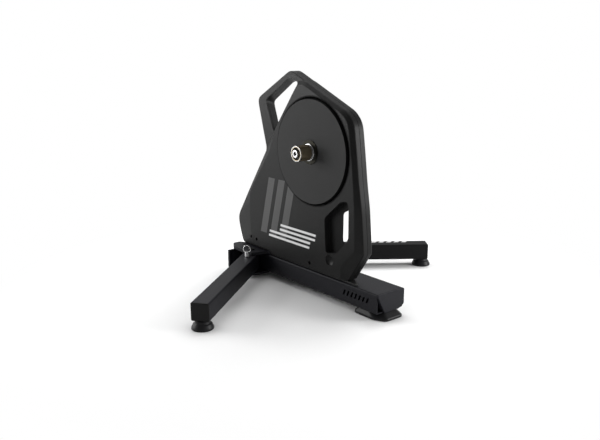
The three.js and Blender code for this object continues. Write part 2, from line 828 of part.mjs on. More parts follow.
// Dark washer in front of the disc
const collarFar = coreNear - seatGap;
const collarNear = collarFar - collarThickness;
piece('hub_collar', tubeY(collarRadius, washerBore, collarNear, collarFar, 0, axleHeight), darkSteel);

// Freehub: bright ring, splined body and bearings
const ringFar = collarNear - seatGap;
const ringNear = ringFar - ringThickness;
const freehubFar = ringNear - seatGap;
const freehubNear = axleNear - seatGap;
piece('freehub_ring', tubeY(ringRadius, washerBore, ringNear, ringFar, 0, axleHeight), brightSteel);

function freehub() {
  const step = (2 * Math.PI) / freehubSplines;
  const root = freehubRadius - splineDepth;
  const points = [];
  const add = (radius, turns) => {
    points.push([radius * Math.cos(turns * step), axleHeight + radius * Math.sin(turns * step)]);
  };
  for (let i = 0; i < freehubSplines; i += 1) {
    add(root, i);
    add(root, i + grooveShare);
    add(freehubRadius, i + grooveShare);
    add(freehubRadius, i + (1 + grooveShare) / 2);
    add(freehubRadius, i + 1);
  }
  const body = join(
    slab(points, freehubNear + splineDepth, freehubFar - splineDepth),
    rodY(freehubRadius, freehubNear, freehubNear + 2 * splineDepth, 0, axleHeight),
    rodY(freehubRadius, freehubFar - 2 * splineDepth, freehubFar, 0, axleHeight),
  );
  return cut(body, rodY(freehubBore + seatGap, freehubNear - overrun, freehubFar + overrun, 0, axleHeight));
}
piece('freehub_body', freehub(), darkSteel);
const freehubBearing = driveEnd + endCapLength + seatGap;
axleBearing('freehub_bearing_outer', freehubBore, freehubBearing);
axleBearing('freehub_bearing_inner', freehubBore, freehubFar - runningGap - bearingWidth);

// Belt loop round the two pulleys, as an outline at a distance from the pulleys' faces
function beltLoop(away) {
  const big = pulleyRadius + away;
  const small = smallPulleyRadius + away;
  const startRear = Math.atan2(rearNormal[1], rearNormal[0]);
  const startFront = Math.atan2(frontNormal[1], frontNormal[0]);
  const bigTurn = 2 * Math.PI - 2 * wrap;
  const bigSteps = 36;
  const smallSteps = 10;
  const points = [];
  for (let i = 0; i <= bigSteps; i += 1) {
    const angle = startFront + (bigTurn * i) / bigSteps;
    points.push([big * Math.cos(angle), axleHeight + big * Math.sin(angle)]);
  }
  for (let i = 0; i <= smallSteps; i += 1) {
    const angle = startRear + (2 * wrap * i) / smallSteps;
    points.push([flywheelX + small * Math.cos(angle), flywheelZ + small * Math.sin(angle)]);
  }
  return points;
}
const beltNear = pulleyNear + pulleySide;
const beltFar = pulleyFar - pulleySide;
const beltBack = beltLoop(seatGap + beltThickness);
piece('drive_belt', slab(beltBack, beltNear, beltFar, [beltLoop(seatGap)]), beltRubber);

// Idler roller against the rear strand
const idlerFar = pulleyFar - pulleySide / 2;
piece(
  'idler_roller',
  tubeY(idlerRadius, idlerStud + seatGap, beltNear, idlerFar, idlerX, idlerZ),
  castAluminium,
);

// Flywheel, its shaft, bearings, small pulley and nut
const shaftNear = pulleyNear - seatGap;
const shaftFar = flywheelFar + seatGap + nutHeight;
piece('flywheel_shaft', rodY(shaftRadius, shaftNear, shaftFar, flywheelX, flywheelZ), brightSteel);
const cheekRadius = smallPulleyRadius + pulleyFlange;
const cheekNear = pulleyNear + pulleySide - seatGap;
const cheekFar = pulleyFar - pulleySide + seatGap;
const smallProfile = [
  [shaftRadius + seatGap, pulleyNear], [cheekRadius, pulleyNear], [cheekRadius, cheekNear],
  [smallPulleyRadius, cheekNear], [smallPulleyRadius, cheekFar], [cheekRadius, cheekFar],
  [cheekRadius, pulleyFar], [shaftRadius + seatGap, pulleyFar],
];
piece('small_pulley', turnedY(smallProfile, flywheelX, flywheelZ), castAluminium);
const shaftBearing = backboneNear + seatGap;
['shaft_bearing_near', 'shaft_bearing_far'].forEach((name, i) => {
  const near = shaftBearing + i * (shaftBearingWidth + seatGap);
  const made = bearing(shaftBearingOuter, shaftRadius, near, shaftBearingWidth, flywheelX, flywheelZ);
  piece(name, made, brightSteel);
});
const webNear = (flywheelNear + flywheelFar - flywheelWeb) / 2;
const webFar = webNear + flywheelWeb;
const rimBore = flywheelRadius - flywheelRim;
const flywheelProfile = [
  [shaftRadius + seatGap, flywheelNear], [flywheelHub, flywheelNear], [flywheelHub, webNear],
  [rimBore, webNear], [rimBore, flywheelNear], [flywheelRadius, flywheelNear], [flywheelRadius, flywheelFar],
  [rimBore, flywheelFar], [rimBore, webFar], [flywheelHub, webFar], [flywheelHub, flywheelFar],
  [shaftRadius + seatGap, flywheelFar],
];
piece('flywheel', turnedY(flywheelProfile, flywheelX, flywheelZ, wheelSides), flywheelSteel);
piece(
  'flywheel_nut',
  nutY(nutRadius, shaftRadius + seatGap, flywheelFar + seatGap, shaftFar, flywheelX, flywheelZ),
  brightSteel,
);

// Flywheel cover: a flanged drum with a ring of cooling slots
function flywheelCover() {
  const near = podFar + seatGap;
  const drum = turnedY([
    [drumInner, near], [drumOuter + drumFlange, near], [drumOuter + drumFlange, near + drumFlangeThickness],
    [drumOuter, near + drumFlangeThickness], [drumOuter, drumFar - drumChamfer],
    [drumOuter - drumChamfer, drumFar],
    [0, drumFar], [0, drumFar - drumWall], [drumInner - drumChamfer, drumFar - drumWall],
    [drumInner, drumFar - drumWall - drumChamfer],
  ], flywheelX, flywheelZ, wheelSides);
  const slots = [];
  for (let i = 0; i < ventCount; i += 1) {
    const slot = new THREE.BoxGeometry(ventWidth, drumWall + 2 * overrun, ventLength);
    slot.translate(0, 0, ventRadius);
    slot.rotateY((2 * Math.PI * i) / ventCount);
    slot.translate(flywheelX, drumFar, flywheelZ);
    slots.push(solid(slot));
  }
  return cut(drum, ...slots);
}
piece('flywheel_cover', flywheelCover(), shellBlack);

// Brake: an arc core with posts, each with its coil
function arc(inner, outer, start, span, steps) {
  const points = [];
  for (let i = 0; i <= steps; i += 1) points.push([outer, start + (span * i) / steps]);
  for (let i = steps; i >= 0; i -= 1) points.push([inner, start + (span * i) / steps]);
  return points.map(([radius, degrees]) => {
    const angle = THREE.MathUtils.degToRad(degrees);
    return [flywheelX + radius * Math.cos(angle), flywheelZ + radius * Math.sin(angle)];
  });
}
const brakeNear = backboneFar + seatGap;
const brakeFar = flywheelNear - brakeGap;
const coilShares = [0.25, 0.75];
const coilPlaces = coilShares.map((share) => {
  const angle = THREE.MathUtils.degToRad(brakeStart + brakeSpan * share);
  const middle = (brakeInner + brakeOuter) / 2;
  return [flywheelX + middle * Math.cos(angle), flywheelZ + middle * Math.sin(angle)];
});
piece('brake_core', join(
  slab(arc(brakeInner, brakeOuter, brakeStart, brakeSpan, 12), brakeNear, brakeNear + brakeCoreThickness),
  ...coilPlaces.map(([x, z]) => rodY(coilInner, brakeNear, brakeFar, x, z, smallSides)),
), flywheelSteel);
coilPlaces.forEach(([x, z], i) => {
  const near = brakeNear + brakeCoreThickness + seatGap;
  piece(`brake_coil_${i + 1}`, tubeY(coilOuter, coilInner + seatGap, near, brakeFar, x, z), copperBrown);
});

// Circuit board on its posts, with the power socket
piece(
  'circuit_board',
  block(boardRear, boardFront, boardNear, boardNear + boardThickness, boardLow, boardHigh),
  boardGreen,
);
piece('power_socket', cut(
  rodY(socketRadius, boardNear + boardThickness + seatGap, podFar + socketProud, socketX, socketZ),
  rodY(socketBore, podFar + socketProud - socketDepth, podFar + overrun, socketX, socketZ, smallSides),
), beltRubber);

// Floor beam: a box section with slanted slots in its drive side
const slotCount = 7;
const slotFirst = 108.5;
const slotPitch = 11.8;
const slotHeight = 12;
const slotWidth = 4.5;
const slotLean = 5;
const slotMiddleShare = 0.54;
function boxSection(halfWidth, low, high, corner) {
  return rounded(rectangle(-halfWidth, halfWidth, low, high), corner);
}
function beam() {
  const half = beamWidth / 2;
  const innerCorner = beamCorner - beamWall;
  const inner = boxSection(half - beamWall, beamBottom + beamWall, beamTop - beamWall, innerCorner);
  const tube = barX(boxSection(half, beamBottom, beamTop, beamCorner), -beamRear, beamFront, [inner]);
  const z = beamBottom + beamHeight * slotMiddleShare;
  const slots = [];
  for (let i = 0; i < slotCount; i += 1) {
    const x = slotFirst + i * slotPitch;
    const edge = (across, up) => [x + (across * slotWidth + up * slotLean) / 2, z + (up * slotHeight) / 2];
    const outline = [edge(-1, -1), edge(1, -1), edge(1, 1), edge(-1, 1)];
    slots.push(slab(outline, -half - overrun, -half + beamWall + overrun));
  }
  return cut(tube, ...slots);
}
piece('beam', beam(), paintBlack);

// Front end cap: a plate with a plug, its lower corners cut away
const capCutShare = 0.26;
const capCutTop = 5;
const capSmallCut = 8;
function frontCap() {
  const half = beamWidth / 2;
  const near = beamFront + seatGap;
  const plugHalf = half - beamWall - seatGap;
  const face = [
    [-half + beamWidth * capCutShare, beamBottom], [half - 2 * capSmallCut, beamBottom],
    [half, beamBottom + capSmallCut], [half, beamTop], [-half, beamTop], [-half, beamTop - capCutTop],
  ];
  const plug = boxSection(
    plugHalf, beamBottom + beamWall + seatGap, beamTop - beamWall - seatGap, beamCorner - beamWall,
  );
  const plugNear = near - 2 * capThickness;
  return join(
    barX(face, near, near + capThickness),
    barX(plug, plugNear, near + seatGap).intersect(barX(face, plugNear, near + capThickness)),
  );
}
piece('beam_front_cap', frontCap(), paintBlack);

// Foot pad under the front of the beam: an upright skirt and a sloped upper part
const padRear = 133;
const padFront = 222;
const padTopRear = 138;
const padTopFront = 210;
const padHalf = 38.5;
const padTopHalf = 33;
const padCorner = 14;
const padRearCorner = 8;
const padSkirt = 6;
function padOutline(rear, front, half) {
  const side = [
    [rear, -half + padRearCorner], [rear + padRearCorner, -half], [front - 2 * padCorner, -half],
    [front, -half + padCorner],
  ];
  return [...side, ...side.map(([x, y]) => [x, -y]).reverse()];
}
function footPad() {
  const low = padOutline(padRear, padFront, padHalf);
  const high = padOutline(padTopRear, padTopFront, padTopHalf);
  return join(
    plate(low, 0, padSkirt),
    loft(low, padSkirt, high, beamBottom - seatGap, standing),
  );
}
piece('foot_pad', footPad(), rubberBlack);

// Leg bracket: an upper and a lower plate on the rear of the beam
const pivotX = -pivotBack;
const lockReach = 36;
const lockRadius = 4;
const foldAngle = 90 - legSweep;
const lowerThickness = 5.7;
const lowerTop = beamBottom - seatGap;
const lowerBottom = lowerTop - lowerThickness;
const boltRadius = 5;
const boltHead = 8;
const boltHeadHeight = 2.5;
const boltNut = 9;
const boltNutHeight = 5;
const washerRadius = 15;
const bracketEdge = pivotSpread + 16;
const webWall = 6;
const webInset = 2.5;
const rimSpan = 105;
const rimSteps = 7;

// Half outlines of the plates, as shares of the pivots' spread, counted from the middle between them
const upperShares = [
  [0.766, -0.58], [0.573, -0.645], [0.379, -1.258], [-0.879, -1.258], [-1.282, -1], [-1.298, -0.677],
  [-0.944, -0.484],
];
const lowerRearShares = [[-0.911, -1.258], [-0.944, -0.58]];
const plateAt = (shares) => shares.map(([a, b]) => [pivotX + a * pivotSpread, b * pivotSpread]);
const bothSides = (half) => [...half, ...half.map(([x, y]) => [x, -y]).reverse()];

// The lower plate is round about each pivot, so that the lock pin swings past its rim
function lowerOutline() {
  const reach = lockReach - lockRadius - runningGap;
  const rim = [];
  for (let i = 0; i <= rimSteps; i += 1) {
    const angle = THREE.MathUtils.degToRad((rimSpan * i) / rimSteps);
    rim.push([pivotX + reach * Math.cos(angle), -pivotSpread - reach * Math.sin(angle)]);
  }
  return bothSides([...rim, ...plateAt(lowerRearShares)]);
}

function upperPlate() {
  const body = plate(bothSides(plateAt(upperShares)), beamTop + seatGap, plateTop);
  return cut(body, ...[-1, 1].map((side) => (
    rodZ(boltRadius + seatGap, beamTop - overrun, plateTop + overrun, pivotX, side * pivotSpread)
  )));
}
piece('bracket_upper', upperPlate(), paintBlack);

function lowerPlate() {
  const webRear = pivotX - webSetBack - webWall;
  const webEdge = bracketEdge - webInset;
  const low = lowerTop - seatGap;
  const ringTop = legBottom - seatGap;
  return cut(
    join(
      plate(lowerOutline(), lowerBottom, lowerTop),
      block(webRear, webRear + webWall, -webEdge, webEdge, low, beamTop),
      rodZ(washerRadius, low, ringTop, pivotX, pivotSpread),
      rodZ(washerRadius, low, ringTop, pivotX, -pivotSpread),
    ),
    rodZ(boltRadius + seatGap, lowerBottom - overrun, ringTop + overrun, pivotX, pivotSpread),
    rodZ(boltRadius + seatGap, lowerBottom - overrun, ringTop + overrun, pivotX, -pivotSpread),
  );
}
piece('bracket_lower', lowerPlate(), paintBlack);

// One leg with its pivot bolt, lock pin and levelling foot, on the side of +Y or -Y.
// A leg is built along +X from its pivot at the origin, and its group is turned to its open angle.
const footRadius = 23.5;
const footTopRadius = 19.5;
const footSkirt = 4;
const studRadius = 5;
const studLength = 28;
const barrelRadius = 6;
const barrelHeight = 7;
const knobRadius = 5.5;
const knobHeight = 6;
const noseChamfer = 1;
const ringMajor = 9;
const ringWire = 1.2;
const springRadius = 5.7;
const springWire = 0.7;
const springTurns = 5;
const springSeat = 7;
const collarHeight = 3;
const collarRise = 8;
const plugLength = 10;

function legSection(less) {
  const corner = legCorner - Math.min(less, legWall);
  return boxSection(legWidth / 2 - less, legBottom + less, legTop - less, corner);
}

function legTube() {
  const half = legWidth / 2;
  const end = legLength - capThickness;
  const outside = barX(legSection(0), -half, end);
  const inside = barX(legSection(legWall), -half, end + overrun);
  const limit = (less) => join(
    rodZ(half - less, legBottom - overrun, legTop + overrun, 0, 0, 2 * roundSides),
    block(0, legLength + overrun, -half - overrun, half + overrun, legBottom - overrun, legTop + overrun),
  );
  const hollow = inside.intersect(limit(legWall));
  const footAt = legLength - footInset;
  return cut(
    outside.intersect(limit(0)),
    hollow,
    rodZ(boltRadius + seatGap, legBottom - overrun, legTop + overrun, 0, 0),
    rodZ(lockRadius + seatGap, legBottom - overrun, legTop + overrun, lockReach, 0, smallSides),
    rodZ(studRadius + seatGap, legBottom - overrun, legBottom + legWall + overrun, footAt, 0, smallSides),
  );
}

function leg(side) {
  const tag = side < 0 ? 'drive' : 'far';
  const turned = new THREE.Group();
  turned.position.set(pivotX, side * pivotSpread, 0);
  turned.rotation.z = THREE.MathUtils.degToRad(side * foldAngle);
  group.add(turned);
  const end = legLength - capThickness + seatGap;
  const footAt = legLength - footInset;

  piece(`leg_tube_${tag}`, legTube(), paintBlack, turned);
  const cap = join(
    barX(legSection(0), end, legLength),
    cut(
      barX(legSection(legWall + seatGap), end - plugLength, end + seatGap),
      rodZ(studRadius + runningGap, legBottom, legTop, footAt, 0, smallSides),
    ),
  );
  piece(`leg_cap_${tag}`, cap, paintBlack, turned);

  const boltTop = plateTop + seatGap + boltHeadHeight;
  const nutLow = lowerBottom - seatGap - boltNutHeight;
  piece(`pivot_bolt_${tag}`, turnedZ([
    [0, nutLow], [boltRadius, nutLow], [boltRadius, plateTop + seatGap], [boltHead, plateTop + seatGap],
    [boltHead - noseChamfer, boltTop], [0, boltTop],
  ], 0, 0), darkSteel, turned);
  piece(
    `pivot_nut_${tag}`,
    nutZ(boltNut, boltRadius + seatGap, nutLow, lowerBottom - seatGap, 0, 0),
    darkSteel,
    turned,
  );

  const barrelTop = legTop + seatGap + barrelHeight;
  piece(
    `lock_barrel_${tag}`,
    nutZ(barrelRadius, lockRadius + seatGap, legTop + seatGap, barrelTop, lockReach, 0),
    brightSteel,
    turned,
  );
  const collarLow = legBottom + legWall + collarRise;
  const knobLow = barrelTop + seatGap;
  const noseLow = lowerBottom + runningGap;
  const plunger = turnedZ([
    [0, noseLow], [lockRadius - noseChamfer, noseLow], [lockRadius, noseLow + noseChamfer],
    [lockRadius, collarLow], [springSeat, collarLow], [springSeat, collarLow + collarHeight],
    [lockRadius, collarLow + collarHeight], [lockRadius, knobLow], [knobRadius, knobLow],
    [knobRadius, knobLow + knobHeight], [0, knobLow + knobHeight],
  ], lockReach, 0, smallSides);
  const ringOf = (wire) => {
    const made = new THREE.TorusGeometry(ringMajor, wire, 6, roundSides);
    made.rotateY(Math.PI / 2);
    made.translate(lockReach, 0, knobLow + knobHeight / 2 + ringMajor);
    return solid(made);
  };
  piece(`lock_plunger_${tag}`, cut(plunger, ringOf(ringWire + seatGap)), brightSteel, turned);
  piece(`lock_ring_${tag}`, ringOf(ringWire), brightSteel, turned);
  const springLow = collarLow + collarHeight + seatGap;
  const springHigh = legTop - legWall - seatGap;
  piece(
    `lock_spring_${tag}`,
    coil(springRadius, springWire, springTurns, springLow, springHigh, lockReach, 0),
    brightSteel,
    turned,
  );

  const stud = rodZ(studRadius, footSkirt + seatGap, footSkirt + studLength, footAt, 0, smallSides);
  piece(`foot_stud_${tag}`, stud, brightSteel, turned);
  const footHigh = legBottom - seatGap;
  piece(`foot_cup_${tag}`, cut(
    turnedZ([
      [0, 0], [footRadius, 0], [footRadius, footSkirt], [footTopRadius, (footSkirt + footHigh) / 2],
      [footTopRadius, footHigh], [0, footHigh],
    ], footAt, 0),
    rodZ(studRadius + seatGap, footSkirt, footHigh + overrun, footAt, 0, smallSides),
  ), rubberBlack, turned);
}
leg(-1);
leg(1);

// Centre of the box along X comes to the origin
const boxFront = Math.max(padFront, beamFront + seatGap + capThickness);
group.position.x = (casingRear - boxFront) / 2;

export default group;
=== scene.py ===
import math

import bmesh
import bpy
from mathutils import Matrix, Vector


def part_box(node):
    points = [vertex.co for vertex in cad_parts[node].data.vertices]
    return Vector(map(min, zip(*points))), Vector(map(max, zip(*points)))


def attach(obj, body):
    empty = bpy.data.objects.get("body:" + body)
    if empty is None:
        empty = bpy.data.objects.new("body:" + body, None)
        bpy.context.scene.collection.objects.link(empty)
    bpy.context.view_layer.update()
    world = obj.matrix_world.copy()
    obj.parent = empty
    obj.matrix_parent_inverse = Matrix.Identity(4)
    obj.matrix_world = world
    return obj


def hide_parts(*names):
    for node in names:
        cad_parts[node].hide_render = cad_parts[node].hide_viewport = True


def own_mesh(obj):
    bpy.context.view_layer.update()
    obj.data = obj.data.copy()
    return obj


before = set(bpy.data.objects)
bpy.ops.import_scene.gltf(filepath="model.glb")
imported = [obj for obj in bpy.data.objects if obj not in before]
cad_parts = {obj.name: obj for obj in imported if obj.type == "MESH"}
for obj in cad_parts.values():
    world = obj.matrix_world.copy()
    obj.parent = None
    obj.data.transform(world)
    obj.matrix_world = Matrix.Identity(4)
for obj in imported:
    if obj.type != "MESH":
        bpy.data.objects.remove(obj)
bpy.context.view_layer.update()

# Studio: a pale floor in a white surround with a darker ceiling, four soft lamps, and a camera off the
# front corner of the drive side, a little above the hub. Azimuth is counted from square on to the
# drive side, towards the beam's front end.
camera_azimuth = math.radians(50.394)
camera_elevation = math.radians(14.168)
camera_distance = 1.6622
camera_aim = Vector((-0.0534, 0.0, 0.15615))
view_width = 600
focal_length = 693.2
sensor_width = 36.0
surround_light = 0.25
dark_front = -0.45
light_back = 0.1
ceiling_low = 0.35
ceiling_high = 0.75
ceiling_light = 0.15
floor_reach = 12.0
floor_colour = (0.8, 0.8, 0.8, 1.0)
floor_glow = 0.25
contact_reach = 0.3
floor_near = 0.4
floor_far = 0.76
white = (1.0, 1.0, 1.0, 1.0)


class Value:
    """A number that changes over a surface. Arithmetic on it adds Math nodes to its tree."""

    def __init__(self, tree, socket):
        self.tree = tree
        self.socket = socket

    def math(self, operation, *others):
        sockets = dict(enumerate((self, *others)))
        return self.tree.value("ShaderNodeMath", {"operation": operation}, sockets)

    def __add__(self, other):
        return self.math("ADD", other)

    def __sub__(self, other):
        return self.math("SUBTRACT", other)

    def __rsub__(self, other):
        return self.math("MULTIPLY_ADD", -1.0, other)

    def __mul__(self, other):
        return self.math("MULTIPLY", other)

    def __truediv__(self, other):
        return self.math("DIVIDE", other)

    def __abs__(self):
        return self.math("ABSOLUTE")

    __radd__ = __add__
    __rmul__ = __mul__


class Tree:
    """The nodes of one material, world or modifier."""

    def __init__(self, owner):
        self.nodes = owner.nodes
        self.links = owner.links

    def node(self, kind, settings=None, sockets=None):
        made = self.nodes.new(kind)
        for name, setting in (settings or {}).items():
            setattr(made, name, setting)
        for key, value in (sockets or {}).items():
            self.feed(made.inputs[key], value)
        return made

    def feed(self, socket, value):
        source = value.socket if isinstance(value, Value) else value
        if isinstance(source, bpy.types.NodeSocket):
            self.links.new(source, socket)
        else:
            socket.default_value = source

    def value(self, kind, settings=None, sockets=None, output=0):
        return Value(self, self.node(kind, settings, sockets).outputs[output])

    def seen_white(self, spot):
        """One where the camera or a glass looks, and where a gloss looks at the studio's light back."""
        rays = self.node("ShaderNodeLightPath").outputs
        split = self.node("ShaderNodeSeparateXYZ", None, {0: spot}).outputs
        back = self.ramp(Value(self, split[1]), dark_front, light_back)
        ceiling = self.ramp(Value(self, split[2]), ceiling_low, ceiling_high, 1.0, ceiling_light)
        glossy = back * ceiling * rays["Is Glossy Ray"]
        return glossy.math("MAXIMUM", rays["Is Camera Ray"]).math("MAXIMUM", rays["Is Transmission Ray"])

    def ramp(self, value, low, high, start=0.0, end=1.0):
        """Runs smoothly from start to end as the value goes from low to high."""
        sockets = {"Value": value, "From Min": low, "From Max": high, "To Min": start, "To Max": end}
        return self.value("ShaderNodeMapRange", {"interpolation_type": "SMOOTHSTEP"}, sockets)


def facing(place, target):
    """The turn that points a lamp or camera at place towards the target."""
    return (target - place).to_track_quat("-Z", "Y").to_euler()


def studio_camera():
    level = math.cos(camera_elevation)
    away = Vector((
        math.sin(camera_azimuth) * level,
        -math.cos(camera_azimuth) * level,
        math.sin(camera_elevation),
    ))
    lens = bpy.data.cameras.new("camera")
    lens.sensor_width = sensor_width
    lens.lens = focal_length / view_width * sensor_width
    camera = bpy.data.objects.new("camera", lens)
    camera.location = camera_aim + away * camera_distance
    camera.rotation_euler = facing(camera.location, camera_aim)
    bpy.context.scene.collection.objects.link(camera)
    bpy.context.scene.camera = camera


def soft_lamp(name, place, target, size, power, mirrored=True):
    light = bpy.data.lights.new(name, "AREA")
    light.shape = "RECTANGLE"
    light.size, light.size_y = size
    light.energy = power
    lamp = bpy.data.objects.new(name, light)
    lamp.location = place
    lamp.rotation_euler = facing(lamp.location, Vector(target))
    lamp.visible_glossy = mirrored
    bpy.context.scene.collection.objects.link(lamp)


def studio_world():
    world = bpy.data.worlds.new("surround")
    world.use_nodes = True
    world.node_tree.nodes.clear()
    tree = Tree(world.node_tree)
    direction = tree.node("ShaderNodeTexCoord").outputs["Generated"]
    strength = tree.seen_white(direction) * (1.0 - surround_light) + surround_light
    shade = tree.node("ShaderNodeBackground", None, {"Color": white, "Strength": strength})
    tree.node("ShaderNodeOutputWorld", None, {"Surface": shade.outputs[0]})
    bpy.context.scene.world = world


def studio_floor():
    floor = bpy.data.meshes.new("floor")
    corners = [(-1, -1), (1, -1), (1, 1), (-1, 1)]
    floor.from_pydata([(x * floor_reach, y * floor_reach, 0) for x, y in corners], [], [(0, 1, 2, 3)])
    paint = bpy.data.materials.new("floor_paint")
    paint.use_nodes = True
    paint.node_tree.nodes.clear()
    tree = Tree(paint.node_tree)
    spot = tree.node("ShaderNodeTexCoord").outputs["Object"]
    seen = tree.seen_white(spot)
    away = tree.value("ShaderNodeVectorMath", {"operation": "LENGTH"}, {0: spot}, "Value")
    far = tree.ramp(away, floor_near, floor_far) * seen
    plain = tree.node("ShaderNodeBsdfDiffuse", None, {"Color": floor_colour}).outputs[0]
    sky = tree.value("ShaderNodeAmbientOcclusion", {"samples": 16}, {"Distance": contact_reach}, "AO")
    fill = seen * sky * sky * floor_glow
    glow = tree.node("ShaderNodeEmission", None, {"Color": white, "Strength": fill}).outputs[0]
    near = tree.node("ShaderNodeAddShader", None, {0: plain, 1: glow}).outputs[0]
    bright = tree.node("ShaderNodeEmission", None, {"Color": white, "Strength": 1.0}).outputs[0]
    both = tree.node("ShaderNodeMixShader", None, {0: far, 1: near, 2: bright})
    tree.node("ShaderNodeOutputMaterial", None, {"Surface": both.outputs[0]})
    floor.materials.append(paint)
    laid = bpy.data.objects.new("floor", floor)
    bpy.context.scene.collection.objects.link(laid)


studio_camera()
studio_world()
studio_floor()
soft_lamp("left_lamp", (-1.4, -1.2, 0.66), (0.0, 0.0, 0.4), (1.1, 0.9), 24.0)
soft_lamp("right_lamp", (1.3, 1.1, 0.6), (0.1, 0.0, 0.3), (0.6, 0.5), 18.0)
soft_lamp("overhead_lamp", (-0.7, 0.05, 1.5), (0.0, 0.0, 0.2), (1.0, 1.0), 10.0)
soft_lamp("shadow_lamp", (-0.2, 0.7, 1.3), (0.0, 0.0, 0.0), (0.7, 0.7), 11.0, mirrored=False)

bpy.context.scene.view_settings.view_transform = "Standard"


# Casing: two halves in black glass-filled nylon, moulded with a fine spark-eroded grain. A flat slab
# with a raised middle on both sides, screwed together along its middle, with a lifting handle at the
# top and a hand window at the front. The print is plain bars.
axle_low, axle_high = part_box("main_axle")
hub_x = (axle_low.x + axle_high.x) / 2
hub_z = (axle_low.z + axle_high.z) / 2
shell_low, shell_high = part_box("drive_shell")
back_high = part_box("far_shell")[1]
bracket_low, bracket_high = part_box("bracket_upper")
casing_rise = 0.007
casing_wall = 0.003
part_gap = 0.00015
groove = 0.0004
corner_reach = 0.012
slab_edge = 0.003
shoulder = 0.0025
shoulder_share = 0.12
brow_share = 0.12
brow = 0.002
skirt_gap = 0.0006
pod_near = shell_low.y
slab_near = pod_near + casing_rise
pod_far = back_high.y
slab_far = pod_far - casing_rise
part_middle = (pod_near + pod_far) / 2

front_shares = [
    (1.245, -0.755), (1.258, -0.73), (1.242, -0.634), (1.188, -0.39), (1.113, -0.188), (1.07, -0.033),
    (1.023, 0.203), (0.988, 0.378), (0.93, 0.462), (0.812, 0.549),
]
pod_front_shares = [
    (1.078, -0.735), (1.094, -0.712), (1.094, -0.634), (1.074, -0.4), (1.035, -0.2), (0.996, -0.033),
    (0.945, 0.192), (0.91, 0.358), (0.858, 0.452), (0.727, 0.528),
]
top_shares = [(-0.251, 1), (-0.295, 1), (-0.68, 0.628), (-0.69, 0.558), (-0.623, 0.151)]
root_top_shares = [(-0.11, 0.894), (-0.158, 0.887), (-0.2, 0.872), (-0.408, 0.314), (-0.5, 0.134)]
pod_top_shares = [(-0.09, 0.835), (-0.137, 0.831), (-0.174, 0.808), (-0.402, 0.314), (-0.466, 0.145)]
rear_shares = [
    (-0.583, -0.052), (-0.868, -0.516), (-0.991, -0.715), (-1, -0.766), (-0.985, -0.845),
    (-0.948, -0.958),
]
pod_rear_shares = [
    (-0.513, -0.055), (-0.784, -0.453), (-0.797, -0.6), (-0.79, -0.766), (-0.784, -0.866),
    (-0.757, -0.94),
]
toe_share = 0.898
root_toe_share = (0.945, -0.967)
pod_toe_share = (0.773, -0.877)
skirt_rear_share = -0.931
skirt_front_share = -0.53
pod_lip = 0.001
pod_skirt_lip = 0.0045
handle_shares = [
    (-0.164, 0.848), (-0.235, 0.917), (-0.297, 0.928), (-0.584, 0.618), (-0.588, 0.575), (-0.486, 0.155),
    (-0.394, 0.316),
]
handle_far_shares = [
    (-0.17, 0.8), (-0.25, 0.85), (-0.335, 0.868), (-0.584, 0.588), (-0.594, 0.54), (-0.515, 0.155),
    (-0.394, 0.316),
]
window_shares = [
    (0.39, -0.81), (0.656, -0.785), (0.94, -0.645), (0.94, -0.395), (0.91, -0.35), (0.86, -0.345),
    (0.75, -0.355), (0.36, -0.515), (0.35, -0.54),
]
slot_shares = [
    (0.7, -0.69), (0.78, -0.705), (0.875, -0.66), (0.875, -0.41), (0.82, -0.425), (0.7, -0.455),
]
scoop_share = (0.49, -0.862)
rear_reach = hub_x - shell_low.x
front_reach = (shell_high.x - hub_x) / max(across for across, up in front_shares)
crown = shell_high.z - hub_z
drop = hub_z - shell_low.z


def across_at(share):
    return hub_x + share * (rear_reach if share < 0 else front_reach)


def casing_point(share):
    across, up = share
    return Vector((across_at(across), hub_z + up * (drop if up < 0 else crown)))


def casing_points(shares):
    return [casing_point(share) for share in shares]


def inset(points, distance):
    """The outline moved sideways by a distance, inwards where it is positive."""
    following = points[1:] + points[:1]
    area = sum(here.x * after.y - after.x * here.y for here, after in zip(points, following))
    turn = math.copysign(1.0, area)
    normals = []
    for here, after in zip(points, following):
        along = (after - here).normalized()
        normals.append(Vector((-along.y, along.x)) * turn)
    moved = []
    for i, here in enumerate(points):
        first, second = normals[i - 1], normals[i]
        moved.append(here + (first + second) * distance / (1 + first.dot(second)))
    return moved


def bend(start, corner, end, steps):
    """A curve from start to end that is pulled towards the corner."""
    shares = [i / steps for i in range(steps + 1)]
    return [start.lerp(corner, share).lerp(corner.lerp(end, share), share) for share in shares]


def rounded(points, reach, steps=5, fixed=()):
    """The outline with its corners turned by curves that start a reach away from them."""
    turned_points = []
    longest = 0.45
    for i, corner in enumerate(points):
        if i in fixed:
            turned_points.append(corner)
            continue
        before = points[i - 1] - corner
        after = points[(i + 1) % len(points)] - corner
        start = corner + before * min(longest, reach / before.length)
        end = corner + after * min(longest, reach / after.length)
        turned_points += bend(start, corner, end, steps)
    return turned_points


def link(name, mesh):
    made = bpy.data.objects.new(name, mesh)
    bpy.context.scene.collection.objects.link(made)
    return made


def closed_mesh(name, points, faces):
    """An object of these faces, with doubles merged and its faces turned outwards."""
    mesh = bpy.data.meshes.new(name)
    mesh.from_pydata(points, [], faces)
    worked = bmesh.new()
    worked.from_mesh(mesh)
    bmesh.ops.remove_doubles(worked, verts=worked.verts, dist=1e-6)
    bmesh.ops.recalc_face_normals(worked, faces=worked.faces)
    worked.to_mesh(mesh)
    worked.free()
    return link(name, mesh)


